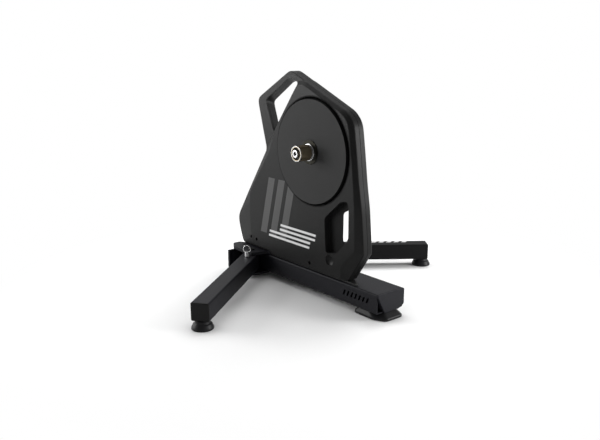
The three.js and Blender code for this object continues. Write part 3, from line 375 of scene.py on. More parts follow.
def skin(name, rings):
    """A solid through rings of as many points, with a lid over the first and the last."""
    count = len(rings[0])
    points = [point for ring in rings for point in ring]
    faces = [tuple(range(count)), tuple(range(len(points) - count, len(points)))]
    for i in range(len(rings) - 1):
        for j in range(count):
            k = (j + 1) % count
            faces.append((i * count + j, i * count + k, (i + 1) * count + k, (i + 1) * count + j))
    return closed_mesh(name, points, faces)


def upright(outline, y):
    return [(point.x, y, point.y) for point in outline]


def upright_skin(name, outline, levels):
    """A solid on an outline in X and Z. Each level is how far the outline moves in, and its Y."""
    return skin(name, [upright(inset(outline, away), y) for away, y in levels])


def edge_levels(radius, face, out, steps=4):
    """Levels of a rounded edge that ends on a face. out is the side of Y that the face looks to."""
    turns = [math.pi / 2 * i / steps for i in range(steps + 1)]
    return [
        (radius * (1 - math.cos(turn)), face - out * radius * (1 - math.sin(turn))) for turn in turns
    ]


def rim_levels(radius, face, out, steps=4):
    """Levels of a hole whose edge is rounded where it comes out at a face."""
    return [(-away, 2 * face - y - out * radius) for away, y in edge_levels(radius, face, -out, steps)]


def settle(body):
    """Turns the modifiers of an object into a plain mesh."""
    bpy.context.view_layer.update()
    seen = body.evaluated_get(bpy.context.evaluated_depsgraph_get())
    made = bpy.data.meshes.new_from_object(seen)
    body.modifiers.clear()
    body.data = made
    return body


def combined(body, operation, tools):
    """The body joined with, cut by or kept inside the tools, which are used up."""
    for tool in tools:
        step = body.modifiers.new("solid", "BOOLEAN")
        step.operation = operation
        step.solver = "MANIFOLD"
        step.object = tool
    settle(body)
    for tool in tools:
        bpy.data.objects.remove(tool)
    return body


def joined(body, *tools):
    return combined(body, "UNION", tools)


def cut(body, *tools):
    return combined(body, "DIFFERENCE", tools)


def turned(name, profile, centre, axis="Y", sides=96, ease=0.0):
    """A solid of [radius, along] points turned about an axis through the centre."""
    points = [Vector(point) for point in profile]
    if ease:
        on_axis = [i for i, point in enumerate(points) if point.x == 0]
        points = rounded(points, ease, 3, on_axis)
    rings = []
    for i in range(sides):
        angle = 2 * math.pi * i / sides
        ring = []
        for point in points:
            first = centre[0] + point.x * math.cos(angle)
            second = centre[1] + point.x * math.sin(angle)
            ring.append((first, point.y, second) if axis == "Y" else (first, second, point.y))
        rings.append(ring)
    count = len(points)
    faces = []
    for i in range(sides):
        for j in range(count):
            k = (j + 1) % count
            m = (i + 1) % sides
            if points[j].x or points[k].x:
                faces.append((i * count + j, i * count + k, m * count + k, m * count + j))
    return closed_mesh(name, [point for ring in rings for point in ring], faces)


def rod(name, radius, low, high, centre, axis="Y", sides=48):
    return turned(name, [(0, low), (radius, low), (radius, high), (0, high)], centre, axis, sides)


def softened(body, angle=32):
    """Shades a piece smooth, with its edges over the angle kept sharp and its flats kept flat."""
    worked = bmesh.new()
    worked.from_mesh(body.data)
    bmesh.ops.remove_doubles(worked, verts=worked.verts, dist=1e-6)
    bmesh.ops.dissolve_degenerate(worked, edges=worked.edges, dist=1e-6)
    for face in worked.faces:
        face.smooth = True
    for edge in worked.edges:
        edge.smooth = edge.calc_face_angle(math.pi) < math.radians(angle)
    worked.to_mesh(body.data)
    worked.free()
    weigh = body.modifiers.new("flats", "WEIGHTED_NORMAL")
    weigh.keep_sharp = True
    return settle(body)


def finished(body, material, carrier, nodes=(), angle=32):
    """Shades a piece, gives it its material and hangs it on the body that carries it."""
    softened(body, angle)
    body.data.materials.clear()
    body.data.materials.append(material)
    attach(body, carrier)
    if nodes:
        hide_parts(*nodes)
    return body


def grey(level, red=0.0, blue=0.0):
    """A grey by its level out of 255, with more or less red and blue."""
    levels = (level + red, level, level + blue)
    return (*(((value / 255 + 0.055) / 1.055) ** 2.4 for value in levels), 1.0)


class Surface(Tree):
    """The nodes of one finish, round its shader."""

    def __init__(self, name):
        self.material = bpy.data.materials.new(name)
        self.material.use_nodes = True
        super().__init__(self.material.node_tree)
        self.shader = self.nodes["Principled BSDF"]
        self.spot = self.node("ShaderNodeTexCoord").outputs["Object"]

    def place(self):
        split = self.node("ShaderNodeSeparateXYZ", None, {0: self.spot})
        return [Value(self, axis) for axis in split.outputs]

    def noise(self, scale, detail=2.0, stretch=None, spot=None):
        spot = spot or self.spot
        if stretch:
            spot = self.node("ShaderNodeMapping", None, {"Vector": spot, "Scale": stretch}).outputs[0]
        sockets = {"Vector": spot, "Scale": scale, "Detail": detail}
        return self.value("ShaderNodeTexNoise", None, sockets)

    def between(self, value, low, high, soft):
        return self.ramp(value, low - soft, low + soft) * self.ramp(value, high + soft, high - soft)

    def radius(self, centre):
        """How far a spot is from an axis along Y."""
        x, y, z = self.place()
        square = (x - centre[0]).math("POWER", 2.0) + (z - centre[1]).math("POWER", 2.0)
        return square.math("SQRT")

    def mix(self, factor, first, second):
        sockets = {0: factor, 6: first, 7: second}
        return self.node("ShaderNodeMix", {"data_type": "RGBA"}, sockets).outputs[2]

    def bump(self, height, distance):
        return self.node("ShaderNodeBump", None, {"Height": height, "Distance": distance}).outputs[0]

    def finish(self, colour, roughness, normal=None, metal=0.0, sheen=0.5):
        """Feeds the shader. sheen is the strength of its gloss, where 0.5 is that of glass."""
        sockets = {
            "Base Color": colour, "Roughness": roughness, "Metallic": metal, "Specular IOR Level": sheen,
        }
        if normal:
            sockets["Normal"] = normal
        for name, value in sockets.items():
            self.feed(self.shader.inputs[name], value)
        return self.material


plastic_sheen = 0.15


def moulded_plastic(name, dark, light, roughness, prints=None):
    surface = Surface(name)
    grain = surface.noise(1500.0, 3.0)
    cloud = surface.noise(9.0, 3.0)
    colour = surface.mix(cloud, grey(dark), grey(light))
    gloss = grain * 0.12 + cloud * 0.06 + (roughness - 0.09)
    if prints:
        colour, gloss = prints(surface, colour, gloss)
    return surface.finish(colour, gloss, surface.bump(grain, 0.00005), sheen=plastic_sheen)


print_lean = 0.25
block_bars = [(-0.192, 0.024), (-0.154, 0.024), (-0.116, 0.024)]
block_foot = 0.116
block_head = 0.256
line_bars = [
    (-0.12, 0.008, 0.144), (-0.12, 0.008, 0.133), (-0.158, -0.006, 0.122), (-0.158, -0.006, 0.111),
]
line_height = 0.0055
print_edge = 0.0003
print_depth = 0.002
hub_centre = (hub_x, hub_z)
opening_radius = 0.1195
# Painted shade: a near-black, rougher ring this wide on the casing round the disc's opening, for the
# shadow in the gap about the disc.
opening_painted_shade = 0.0048
painted_shade_level = 4
painted_shade_rough = 0.4


def casing_prints(surface, colour, gloss):
    """A block of three broad grey bars and a row of thin white ones, on the raised middle's face, with
    painted shade: a near-black ring round the disc's opening and a darker window pocket.
    """
    x, y, z = surface.place()
    lean = x - (z - block_foot) * print_lean - hub_x
    face = surface.ramp(y, pod_near + print_depth, pod_near + print_depth / 2)
    upright_span = surface.between(z, block_foot, block_head, print_edge)
    for start, width in block_bars:
        bar = surface.between(lean, start, start + width, print_edge) * upright_span * face
        colour = surface.mix(bar, colour, grey(84))
    for start, end, foot in line_bars:
        bar = surface.between(lean, start, end, print_edge)
        bar = bar * surface.between(z, foot, foot + line_height, print_edge) * face
        colour = surface.mix(bar, colour, grey(225))
    # Painted shade round the disc's opening, near black and rougher.
    shade = surface.ramp(surface.radius(hub_centre), opening_radius + opening_painted_shade, opening_radius)
    shade = shade * face
    # Painted shade: the window's pocket, deeper than the print, is painted near black and rougher for
    # the shade in the recess.
    pocket = surface.between(x, min(window_x), max(window_x), print_edge)
    pocket = pocket * surface.between(z, min(window_z), max(window_z), print_edge)
    pocket = pocket * surface.ramp(y, pod_near + print_depth, pod_near + pocket_depth)
    pocket = pocket * surface.ramp(y, part_middle + print_edge, part_middle)
    colour = surface.mix(pocket, colour, grey(pocket_shade_level))
    rough = shade * painted_shade_rough + pocket * pocket_shade_rough
    return surface.mix(shade, colour, grey(painted_shade_level)), rough + gloss


skirt_ends = [across_at(skirt_rear_share), across_at(skirt_front_share)]
skirt_low = bracket_high.z + skirt_gap
casing_low = shell_low.z
skirt_points = [Vector((x, skirt_low)) for x in skirt_ends]
toe_point = Vector((across_at(toe_share), casing_low))
slab_outline = rounded([
    toe_point,
    *casing_points([*front_shares, *top_shares, *rear_shares]),
    *skirt_points,
    Vector((skirt_ends[1] + casing_wall, casing_low)),
], corner_reach)
root_outline = rounded([
    toe_point,
    casing_point(root_toe_share),
    *casing_points([*front_shares, *root_top_shares, *rear_shares]),
    *skirt_points,
    Vector((skirt_ends[1] + casing_wall, casing_low)),
], corner_reach)
pod_outline = rounded([
    Vector((across_at(pod_toe_share[0]), casing_low + pod_lip)),
    casing_point(pod_toe_share),
    *casing_points([*pod_front_shares, *pod_top_shares, *pod_rear_shares]),
    Vector((across_at(pod_rear_shares[-1][0]) + pod_skirt_lip, skirt_low + pod_skirt_lip)),
    Vector((skirt_ends[1] + pod_skirt_lip, skirt_low + pod_skirt_lip)),
    Vector((skirt_ends[1] + 2 * pod_skirt_lip, casing_low + pod_lip)),
], corner_reach)
opening_corner = 0.009
slot_corner = 0.007
handle_outline = rounded(casing_points(handle_shares), opening_corner)
handle_far_outline = rounded(casing_points(handle_far_shares), opening_corner)
window_outline = rounded(casing_points(window_shares), opening_corner)
slot_outline = rounded(casing_points(slot_shares), slot_corner)
window_x = [spot.x for spot in window_outline]
window_z = [spot.y for spot in window_outline]

pocket_depth = 0.013
# The pocket's painted shade: its grey level and added roughness.
pocket_shade_level = 12
pocket_shade_rough = 0.2
shell_plastic = moulded_plastic("shell_plastic", 23, 27, 0.46, casing_prints)

past = 0.006
handle_inset = 0.002
handle_rim = 0.004
face_rim = 0.0012
window_rim = 0.0015
window_draft = 0.001
panel_thickness = 0.0025
opening_wall = 0.0025
opening_lip = 0.004
scoop_radius = 0.013
scoop_depth = 0.006
mast_rear = -0.141
mast_front = 0.016
mast_inset = 0.001
screw_sink = 0.0035
screw_head = 0.004
screw_head_depth = 0.0025
screw_boss = 0.0055
drive_screws = ["drive_screw_1", "drive_screw_2", "mast_screw"]
far_screws = ["far_screw_1", "far_screw_2"]


def node_centre(node):
    low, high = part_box(node)
    return (low + high) / 2


def pod_rings(part, slab_face, pod_face, shrink=0.0):
    """Rings of one half's raised body, from the parting plane to the flat face of its middle."""
    rise = pod_face - slab_face
    out = math.copysign(1.0, rise)
    at_shoulder = slab_face + rise * shoulder_share
    at_brow = slab_face + rise * (1 - brow_share)
    levels = [
        Vector((0, groove, part)),
        Vector((0, 0, part + out * groove)),
        *bend(
            Vector((0, 0, slab_face - out * shoulder)),
            Vector((0, 0, slab_face)),
            Vector((shoulder_share, 0, at_shoulder)),
            4,
        ),
        *bend(
            Vector((1 - brow_share, 0, at_brow)),
            Vector((1, 0, pod_face)),
            Vector((1, brow, pod_face)),
            4,
        ),
    ]
    rings = []
    for share, away, y in levels:
        outline = [root.lerp(face, share) for root, face in zip(root_outline, pod_outline)]
        rings.append(upright(inset(outline, away + shrink), y))
    return rings


def handle_ring(away, y):
    """The outline of the handle's hole at a Y. It gets smaller between the two outer faces."""
    share = min(1.0, max(0.0, (y - slab_near) / (slab_far - slab_near)))
    outline = [near.lerp(far, share) for near, far in zip(handle_outline, handle_far_outline)]
    return upright(inset(outline, away), y)


def casing_half(name, out):
    """The outside of one half, and the hollow inside it. out is -1 on the drive side."""
    part = part_middle + out * part_gap
    slab_face, pod_face = (slab_near, pod_near) if out < 0 else (slab_far, pod_far)
    slab_levels = [(groove, part), (0, part + out * groove), *edge_levels(slab_edge, slab_face, out)]
    body = joined(
        upright_skin(name, slab_outline, slab_levels),
        skin("raised", pod_rings(part, slab_face, pod_face)),
    )
    inner = skin("hollow", pod_rings(
        part - out * past, slab_face - out * casing_wall, pod_face - out * casing_wall, casing_wall,
    ))
    through = [(0, part - 2 * out * past), (0, pod_face + out * past)]
    handle_levels = [through[0][1], slab_face, through[1][1]]
    walls = [
        skin("handle_wall", [handle_ring(-casing_wall, y) for y in handle_levels]),
        upright_skin("window_wall", inset(window_outline, -casing_wall), through),
    ]
    for screw in [*drive_screws, *far_screws]:
        spot = node_centre(screw)
        walls.append(rod("boss", screw_boss, through[0][1], through[1][1], (spot.x, spot.z), sides=24))
    return body, inner, walls, part


def handle_cutter(part, out):
    """The hole of the handle, with the wide rounded edge that a hand lifts on."""
    slab_face, pod_face = (slab_near, pod_near) if out < 0 else (slab_far, pod_far)
    face = [(handle_inset + away, y) for away, y in rim_levels(face_rim, pod_face, out)]
    through = skin("handle_hole", [handle_ring(away, y) for away, y in [
        (face[0][0], pod_face + out * past), *face, (handle_inset, slab_face),
        (handle_inset, part - out * past),
    ]])
    rim = [(handle_inset + away, y) for away, y in rim_levels(handle_rim, slab_face, out)]
    flare = skin("handle_flare", [handle_ring(away, y) for away, y in [
        (rim[0][0], slab_face + out * past), *rim, (rim[-1][0], rim[-1][1] - out * panel_thickness),
    ]])
    rising = upright_skin("rising", root_outline, [(0, part), (0, pod_face + 2 * out * past)])
    return [through, cut(flare, rising)]


def drive_half():
    body, inner, walls, part = casing_half("casing_drive_half", -1)
    floor_near = pod_near + pocket_depth
    floor_far = floor_near + panel_thickness
    scoop = casing_point(scoop_share)
    opening_end = pod_near + opening_lip
    wall_start = pod_near - past
    wall_inside, wall_outside = opening_radius - opening_wall, opening_radius + casing_wall
    scoop_end = pod_near + scoop_depth + casing_wall
    walls += [
        turned("opening_wall", [
            (wall_inside, wall_start), (wall_outside, wall_start), (wall_outside, opening_end),
            (wall_inside, opening_end),
        ], hub_centre),
        rod("scoop_wall", scoop_radius + casing_wall, wall_start, scoop_end, scoop),
    ]
    inner = cut(inner, *walls)
    pocket = upright_skin("pocket", window_outline, [
        (-window_rim, pod_near - past),
        *rim_levels(window_rim, pod_near, -1),
        (window_draft, floor_near - window_rim),
        *[(window_draft + away, y) for away, y in edge_levels(window_rim, floor_near, 1)[1:]],
    ])
    behind = upright_skin("behind", window_outline, [(0, floor_far), (0, part + past)])
    slot = upright_skin("slot", slot_outline, [
        (0, floor_near - past), (0, part + past),
    ])
    opening = [(radius_more, y) for radius_more, y in rim_levels(face_rim, pod_near, -1)]
    opening_profile = [(opening_radius - away, y) for away, y in opening]
    opening_profile = [
        (0, pod_near - past), (opening_profile[0][0], pod_near - past), *opening_profile,
        (opening_radius, part + past), (0, part + past),
    ]
    dish_steps = 12
    dish = [(0, pod_near - past), (scoop_radius, pod_near - past)]
    for i in range(dish_steps + 1):
        angle = math.pi / 2 * i / dish_steps
        dish.append((scoop_radius * math.cos(angle), pod_near + scoop_depth * math.sin(angle)))
    dish[-1] = (0, pod_near + scoop_depth)
    cutters = [
        inner, pocket, behind, slot,
        turned("opening", opening_profile, hub_centre),
        turned("dish", dish, scoop),
        *handle_cutter(part, -1),
        mast_cutter(),
    ]
    for screw in drive_screws:
        spot = node_centre(screw)
        centre = (spot.x, spot.z)
        seat = pod_near + screw_sink + screw_head_depth
        cutters.append(rod("sink", screw_head + panel_thickness / 10, pod_near - past, seat, centre))
        cutters.append(rod("shank_hole", screw_head / 2, pod_near, part + past, centre))
    return cut(body, *cutters)


def mast_cutter():
    across = [hub_x + mast_rear, hub_x + mast_front]
    corners = [(across[0], casing_low - past), (across[1], casing_low - past),
               (across[1], casing_low + 2 * past), (across[0], casing_low + 2 * past)]
    levels = [(0, slab_near + mast_inset), (0, slab_far - mast_inset)]
    return upright_skin("mast_hole", [Vector(corner) for corner in corners], levels)


casing_nodes = {"drive": "drive_shell", "far": "far_shell"}
finished(drive_half(), shell_plastic, "frame", [casing_nodes["drive"]])

drum_hole = 0.097
boss_hole = 0.018
socket_hole = 0.0068


def far_half():
    body, inner, walls, part = casing_half("casing_far_half", 1)
    inner = cut(inner, *walls)
    wheel = node_centre("flywheel")
    socket = node_centre("power_socket")
    start, end = part - past, pod_far + past
    cutters = [
        inner,
        upright_skin("window_hole", window_outline, [
            (0, start), *[(away, y) for away, y in reversed(rim_levels(window_rim, pod_far, 1))],
            (-window_rim, end),
        ]),
        rod("drum_hole", drum_hole, start, end, (wheel.x, wheel.z), sides=128),
        rod("boss_hole", boss_hole, start, end, hub_centre),
        rod("socket_hole", socket_hole, start, end, (socket.x, socket.z)),
        *handle_cutter(part, 1),
        mast_cutter(),
    ]
    for screw in far_screws:
        spot = node_centre(screw)
        centre = (spot.x, spot.z)
        seat = pod_far - screw_sink - screw_head_depth
        cutters.append(rod("sink", screw_head + panel_thickness / 10, seat, end, centre))
        cutters.append(rod("shank_hole", screw_head / 2, start, pod_far, centre))
    return cut(body, *cutters)


finished(far_half(), shell_plastic, "frame", [casing_nodes["far"]])


# Casing screws: black steel machine screws with a hexagonal recess, sunk in one half of the casing and
# driven into the bosses of the other half.
screw_ease = 0.0006
screw_length = 0.024
recess_radius = 0.0023
recess_depth = 0.0016


class Recipe(Tree):
    """A Geometry Nodes tree with named inputs, which ends in real geometry with a material."""

    def __init__(self, name, **inputs):
        self.group = bpy.data.node_groups.new(name, "GeometryNodeTree")
        super().__init__(self.group)
        self.group.interface.new_socket("Geometry", in_out="INPUT", socket_type="NodeSocketGeometry")
        for label, kind in {**inputs, "Material": "Material"}.items():
            self.group.interface.new_socket(label, in_out="INPUT", socket_type="NodeSocket" + kind)
        self.group.interface.new_socket("Geometry", in_out="OUTPUT", socket_type="NodeSocketGeometry")
        self.given = self.node("NodeGroupInput").outputs

    def copies(self, points, part, axis, angle):
        """The part's geometry on each point, turned by an angle about an axis."""
        turn = self.node("FunctionNodeAxisAngleToRotation", None, {"Axis": axis, "Angle": angle})
        source = self.node("GeometryNodeObjectInfo", None, {"Object": part})
        sockets = {"Points": points, "Instance": source.outputs["Geometry"], "Rotation": turn.outputs[0]}
        return self.node("GeometryNodeInstanceOnPoints", None, sockets).outputs[0]

    def end(self, geometry):
        real = self.node("GeometryNodeRealizeInstances", None, {"Geometry": geometry}).outputs[0]
        sockets = {"Geometry": real, "Material": self.given["Material"]}
        painted = self.node("GeometryNodeSetMaterial", None, sockets).outputs[0]
        self.node("NodeGroupOutput", None, {"Geometry": painted})
        return self

    def made(self, body, material, **values):
        """The body after the tree's work. A part that the tree copied is used up."""
        values["Material"] = material
        step = body.modifiers.new(self.group.name, "NODES")
        step.node_group = self.group
        for item in self.group.interface.items_tree:
            if item.in_out == "INPUT" and item.name in values:
                step[item.identifier] = values[item.name]
        settle(body)
        if "Part" in values:
            bpy.data.objects.remove(values["Part"])
        return body


def scatter_recipe():
    recipe = Recipe("fasteners_on_points", Part="Object", Axis="Vector", Turn="Float")
    given = recipe.given
    return recipe.end(recipe.copies(given["Geometry"], given["Part"], given["Axis"], given["Turn"]))


fasteners = scatter_recipe()


def points_at(name, places):
    mesh = bpy.data.meshes.new(name)
    mesh.from_pydata(places, [], [])
    return link(name, mesh)


def regular(count, radius):
    steps = [2 * math.pi * i / count for i in range(count)]
    return [Vector((radius * math.cos(angle), radius * math.sin(angle))) for angle in steps]


def socket_screw(radius, depth, recess, sink, shank, length):
    """A screw along Y that faces -Y, with the middle of its face at the origin."""
    profile = [(0, 0), (radius, 0), (radius, depth), (0, depth)]
    head = turned("head", profile, (0, 0), sides=32, ease=screw_ease)
    stem = rod("stem", shank, depth / 2, length, (0, 0), sides=16)
    hole = upright_skin("hole", regular(6, recess), [(0, -depth), (0, sink)])
    return cut(joined(head, stem), hole)


def steel(name, level, roughness, red=0.0, blue=0.0, metal=1.0):
    surface = Surface(name)
    wear = surface.noise(60.0, 4.0)
    colour = surface.mix(wear, grey(level - 6, red, blue), grey(level + 6, red, blue))
    return surface.finish(colour, wear * 0.14 + (roughness - 0.07), metal=metal)


black_screw_steel = steel("black_screw_steel", 60, 0.42)


def casing_screws(name, nodes, out):
    face = [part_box(node)[0 if out < 0 else 1].y for node in nodes]
    places = [(node_centre(node).x, y, node_centre(node).z) for node, y in zip(nodes, face)]
    screw = socket_screw(
        screw_head, screw_head_depth, recess_radius, recess_depth, screw_head / 2, screw_length,
    )
    row = fasteners.made(
        points_at(name, places), black_screw_steel,
        Part=screw, Axis=(0.0, 0.0, 1.0), Turn=0.0 if out < 0 else math.pi,
    )
    finished(row, black_screw_steel, "frame", nodes)


casing_screws("casing_screws_drive", drive_screws, -1)
casing_screws("casing_screws_far", far_screws, 1)

# Drum over the flywheel: a cup moulded in the casing's plastic, with a flange that is screwed to the
# far half and a ring of slots that let the brake's heat out.
cover_low, cover_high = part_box("flywheel_cover")
cover_middle = (cover_low + cover_high) / 2
cover_centre = (cover_middle.x, cover_middle.z)
cover_reach = (cover_high.x - cover_low.x) / 2
cover_flange = 0.008
cover_flange_thickness = 0.0035
cover_wall = 0.003
cover_chamfer = 0.008
cover_dish = 0.0012
cover_dish_radius = 0.034
cover_dish_slope = 0.003
cover_ease = 0.003
vent_count = 10
vent_length = 0.034
vent_width = 0.005
vent_radius = 0.068
flange_screw_count = 6
flange_screw_head = 0.0028
flange_screw_depth = 0.0016
flange_screw_edge = 0.0038


def cutting_recipe():
    """Nodes that cut copies of a part from a body, in a row or round an axis."""
    recipe = Recipe(
        "cut_copies", Part="Object", Count="Int", Start="Vector", Step="Vector", Axis="Vector",
        Turn="Float",
    )
    given = recipe.given
    sockets = {"Count": given["Count"], "Start Location": given["Start"], "Offset": given["Step"]}
    row = recipe.node("GeometryNodeMeshLine", {"mode": "OFFSET"}, sockets).outputs[0]
    angle = recipe.value("GeometryNodeInputIndex") * given["Turn"]
    copies = recipe.copies(row, given["Part"], given["Axis"], angle)
    solids = recipe.node("GeometryNodeRealizeInstances", None, {"Geometry": copies}).outputs[0]
    settings = {"operation": "DIFFERENCE", "solver": "MANIFOLD"}
    sockets = {"Mesh 1": given["Geometry"], "Mesh 2": solids}
    return recipe.end(recipe.node("GeometryNodeMeshBoolean", settings, sockets).outputs["Mesh"])


cut_copies = cutting_recipe()


def rectangle(half_width, low, high):
    corners = [(-half_width, low), (half_width, low), (half_width, high), (-half_width, high)]
    return [Vector(corner) for corner in corners]


def drum_cover():
    near, far = cover_low.y, cover_high.y
    inner_far = far - cover_wall
    drum = cover_reach - cover_flange
    bore = drum - cover_wall
    body = turned("drum_cover", [
        (bore, near), (cover_reach, near), (cover_reach, near + cover_flange_thickness),
        (drum, near + cover_flange_thickness), (drum, far - cover_chamfer), (drum - cover_chamfer, far),
        (cover_dish_radius + cover_dish_slope, far), (cover_dish_radius, far - cover_dish),
        (0, far - cover_dish), (0, inner_far), (bore - cover_chamfer, inner_far),
        (bore, inner_far - cover_chamfer),
    ], cover_centre, sides=160, ease=cover_ease)
    low = vent_radius - vent_length / 2
    slot = rounded(rectangle(vent_width / 2, low, low + vent_length), vent_width)
    vent = upright_skin("vent", slot, [(0, inner_far - past), (0, far + past)])
    return cut_copies.made(
        body, shell_plastic, Part=vent, Count=vent_count, Start=(cover_middle.x, 0.0, cover_middle.z),
        Step=(0.0, 0.0, 0.0), Axis=(0.0, 1.0, 0.0), Turn=2 * math.pi / vent_count,
    )


finished(drum_cover(), shell_plastic, "frame", ["flywheel_cover"])


def flange_screws():
    reach = cover_reach - flange_screw_edge
    face = cover_low.y + cover_flange_thickness + flange_screw_depth - screw_ease
    places = []
    for spot in regular(flange_screw_count, reach):
        places.append((cover_middle.x + spot.x, face, cover_middle.z + spot.y))
    screw = socket_screw(
        flange_screw_head, flange_screw_depth, recess_radius / 2, recess_depth / 2, screw_head / 4,
        flange_screw_depth * 2,
    )
    return fasteners.made(
        points_at("flange_screws", places), black_screw_steel,
        Part=screw, Axis=(0.0, 0.0, 1.0), Turn=math.pi,
    )


finished(flange_screws(), black_screw_steel, "frame")

# Power socket: a round plastic inlet with a pin, which stands through the far half of the casing,
# low on the side that faces away.
socket_low, socket_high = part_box("power_socket")
socket_centre = ((socket_low.x + socket_high.x) / 2, (socket_low.z + socket_high.z) / 2)
socket_radius = (socket_high.x - socket_low.x) / 2
socket_bore = 0.003
socket_depth = 0.009
socket_pin = 0.001
socket_pin_sink = 0.0015
socket_ease = 0.0006


def power_socket():
    face = socket_high.y
    return turned("power_inlet", [
        (0, socket_low.y), (socket_radius, socket_low.y), (socket_radius, face), (socket_bore, face),
        (socket_bore, face - socket_depth), (socket_pin, face - socket_depth),
        (socket_pin, face - socket_pin_sink), (0, face - socket_pin_sink),
    ], socket_centre, sides=48, ease=socket_ease)


inlet_plastic = moulded_plastic("inlet_plastic", 20, 26, 0.5)
finished(power_socket(), inlet_plastic, "frame", ["power_socket"])

# Drive disc: a turned aluminium dish in front of the casing, painted dark grey in a satin paint that
# shows the lathe's fine rings. It is bolted to the hub.
disc_low, disc_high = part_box("drive_disc")
disc_radius = (disc_high.x - disc_low.x) / 2
disc_bore = 0.0223
disc_thickness = 0.003
disc_round = 0.0025
disc_edge_steps = 6
# Painted shade on the disc's rim: its width, added roughness and blend.
disc_edge_shade_width = 0.0022
disc_edge_shade_rough = 0.6
disc_edge_shade_blend = 0.0006
turned_swing = 6


def quarter(start, corner, end, steps=disc_edge_steps):
    return bend(Vector(start), Vector(corner), Vector(end), steps)


def drive_disc():
    face = disc_low.y
    rim = disc_radius - disc_thickness
    return turned("disc_dish", [
        (disc_bore, face), *quarter(
            (disc_radius - disc_round, face), (disc_radius, face), (disc_radius, face + disc_round),
        ),
        (disc_radius, disc_high.y), (rim, disc_high.y),
        *quarter(
            (rim, face + disc_thickness + disc_round), (rim, face + disc_thickness),
            (rim - disc_round, face + disc_thickness),
        ),
        (disc_bore, face + disc_thickness),
    ], hub_centre, sides=192)


def turned_finish(name, level, roughness, centre, lines, depth, metal=1.0, sheen=0.5, painted_shade_from=None):
    """A lathe-turned finish: fine rings about an axis along Y, and painted shade, near black and
    rougher, beyond a radius.
    """
    surface = Surface(name)
    radius = surface.radius(centre)
    sockets = {"W": radius, "Scale": lines, "Detail": 3.0}
    rings = surface.value("ShaderNodeTexNoise", {"noise_dimensions": "1D"}, sockets)
    cloud = surface.noise(12.0, 3.0)
    shades = grey(level - turned_swing), grey(level + turned_swing)
    colour = surface.mix(rings * 0.6 + cloud * 0.4, *shades)
    gloss = rings * 0.12 + cloud * 0.06 + (roughness - 0.09)
    # Painted shade: near black and rougher on the rim, for the shadow in the gap round the disc.
    if painted_shade_from:
        edge = surface.ramp(radius, painted_shade_from, painted_shade_from + disc_edge_shade_blend)
        colour = surface.mix(edge, colour, grey(5))
        gloss = edge * disc_edge_shade_rough + gloss
    return surface.finish(colour, gloss, surface.bump(rings, depth), metal, sheen)


disc_paint = turned_finish(
    "disc_paint", 54, 0.6, hub_centre, 1400.0, 0.00003, 0.0, 0.1, disc_radius - disc_edge_shade_width,
)
finished(drive_disc(), disc_paint, "hub", ["drive_disc"], angle=40)

# Hub front: a black washer on the disc, then the freehub, a steel barrel with nine grooves for the
# cassette and a bright ring behind them. It runs on the fixed axle and is held by the end cap.
collar_low, collar_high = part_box("hub_collar")
ring_low, ring_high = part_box("freehub_ring")
freehub_low, freehub_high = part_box("freehub_body")
cap_low, cap_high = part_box("end_cap_drive")
far_cap_low, far_cap_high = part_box("end_cap_far")
seal_low, seal_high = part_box("freehub_bearing_outer")
washer_bore = 0.008
collar_ease = 0.0005
ring_ease = 0.0011
freehub_bore = 0.0138
freehub_ease = 0.0006
groove_count = 9
groove_depth = 0.0012
groove_share = 0.28
bare_edge = 0.0005
bare_radius = 0.0158
bare_shoulder = 0.003
bronze_metal = 0.8
cap_bore = 0.00275
cap_sink = 0.002
cap_sink_radius = 0.0044
cap_sink_shade_blend = 0.0003
cap_seat = 0.0035
cap_ease = 0.0009
axle_radius = 0.0063
seal_step = 0.001
seal_race = 0.0008


def half_width(low, high):
    return (high.x - low.x) / 2


def washer(name, low, high, bore, ease, sides=128):
    outer = half_width(low, high)
    profile = [(bore, low.y), (outer, low.y), (outer, high.y), (bore, high.y)]
    return turned(name, profile, hub_centre, sides=sides, ease=ease)


black_washer = steel("black_washer", 34, 0.42, 1, -5)
bright_steel = steel("bright_steel", 205, 0.2)
finished(washer("collar_washer", collar_low, collar_high, washer_bore, collar_ease), black_washer, "hub",
         ["hub_collar"])
finished(washer("ring_behind_grooves", ring_low, ring_high, washer_bore, ring_ease), bright_steel,
         "freehub", ["freehub_ring"])


def bronze_finish():
    """Bronze-coated steel, worn bare round the barrel's outer edge and on its shoulder."""
    surface = Surface("bronze_coated_steel")
    x, y, z = surface.place()
    wear = surface.noise(70.0, 4.0)
    colour = surface.mix(wear, grey(124, 10, -20), grey(150, 14, -26))
    edge = surface.ramp(y, freehub_low.y + bare_edge, freehub_low.y + bare_edge / 2)
    edge = edge * surface.ramp(surface.radius(hub_centre), bare_radius - bare_edge / 2, bare_radius)
    worn_from = freehub_high.y - bare_shoulder
    shoulder_bare = surface.ramp(y, worn_from, worn_from + bare_edge)
    colour = surface.mix(edge.math("MAXIMUM", shoulder_bare), colour, grey(180))
    return surface.finish(colour, wear * 0.12 + 0.3, metal=bronze_metal)


bronze_steel = bronze_finish()


def freehub_barrel():
    outer = half_width(freehub_low, freehub_high)
    body = washer("freehub_barrel", freehub_low, freehub_high, freehub_bore, freehub_ease, 144)
    width = 2 * math.pi / groove_count * groove_share * outer
    root = outer - groove_depth
    outline = rectangle(width / 2, root, outer + groove_depth)
    near, far = freehub_low.y + groove_depth, freehub_high.y - groove_depth
    groove = upright_skin("groove", outline, [(0, near), (0, far)])
    return cut_copies.made(
        body, bronze_steel, Part=groove, Count=groove_count, Start=(hub_x, 0.0, hub_z),
        Step=(0.0, 0.0, 0.0), Axis=(0.0, 1.0, 0.0), Turn=2 * math.pi / groove_count,
    )


finished(freehub_barrel(), bronze_steel, "freehub", ["freehub_body"])


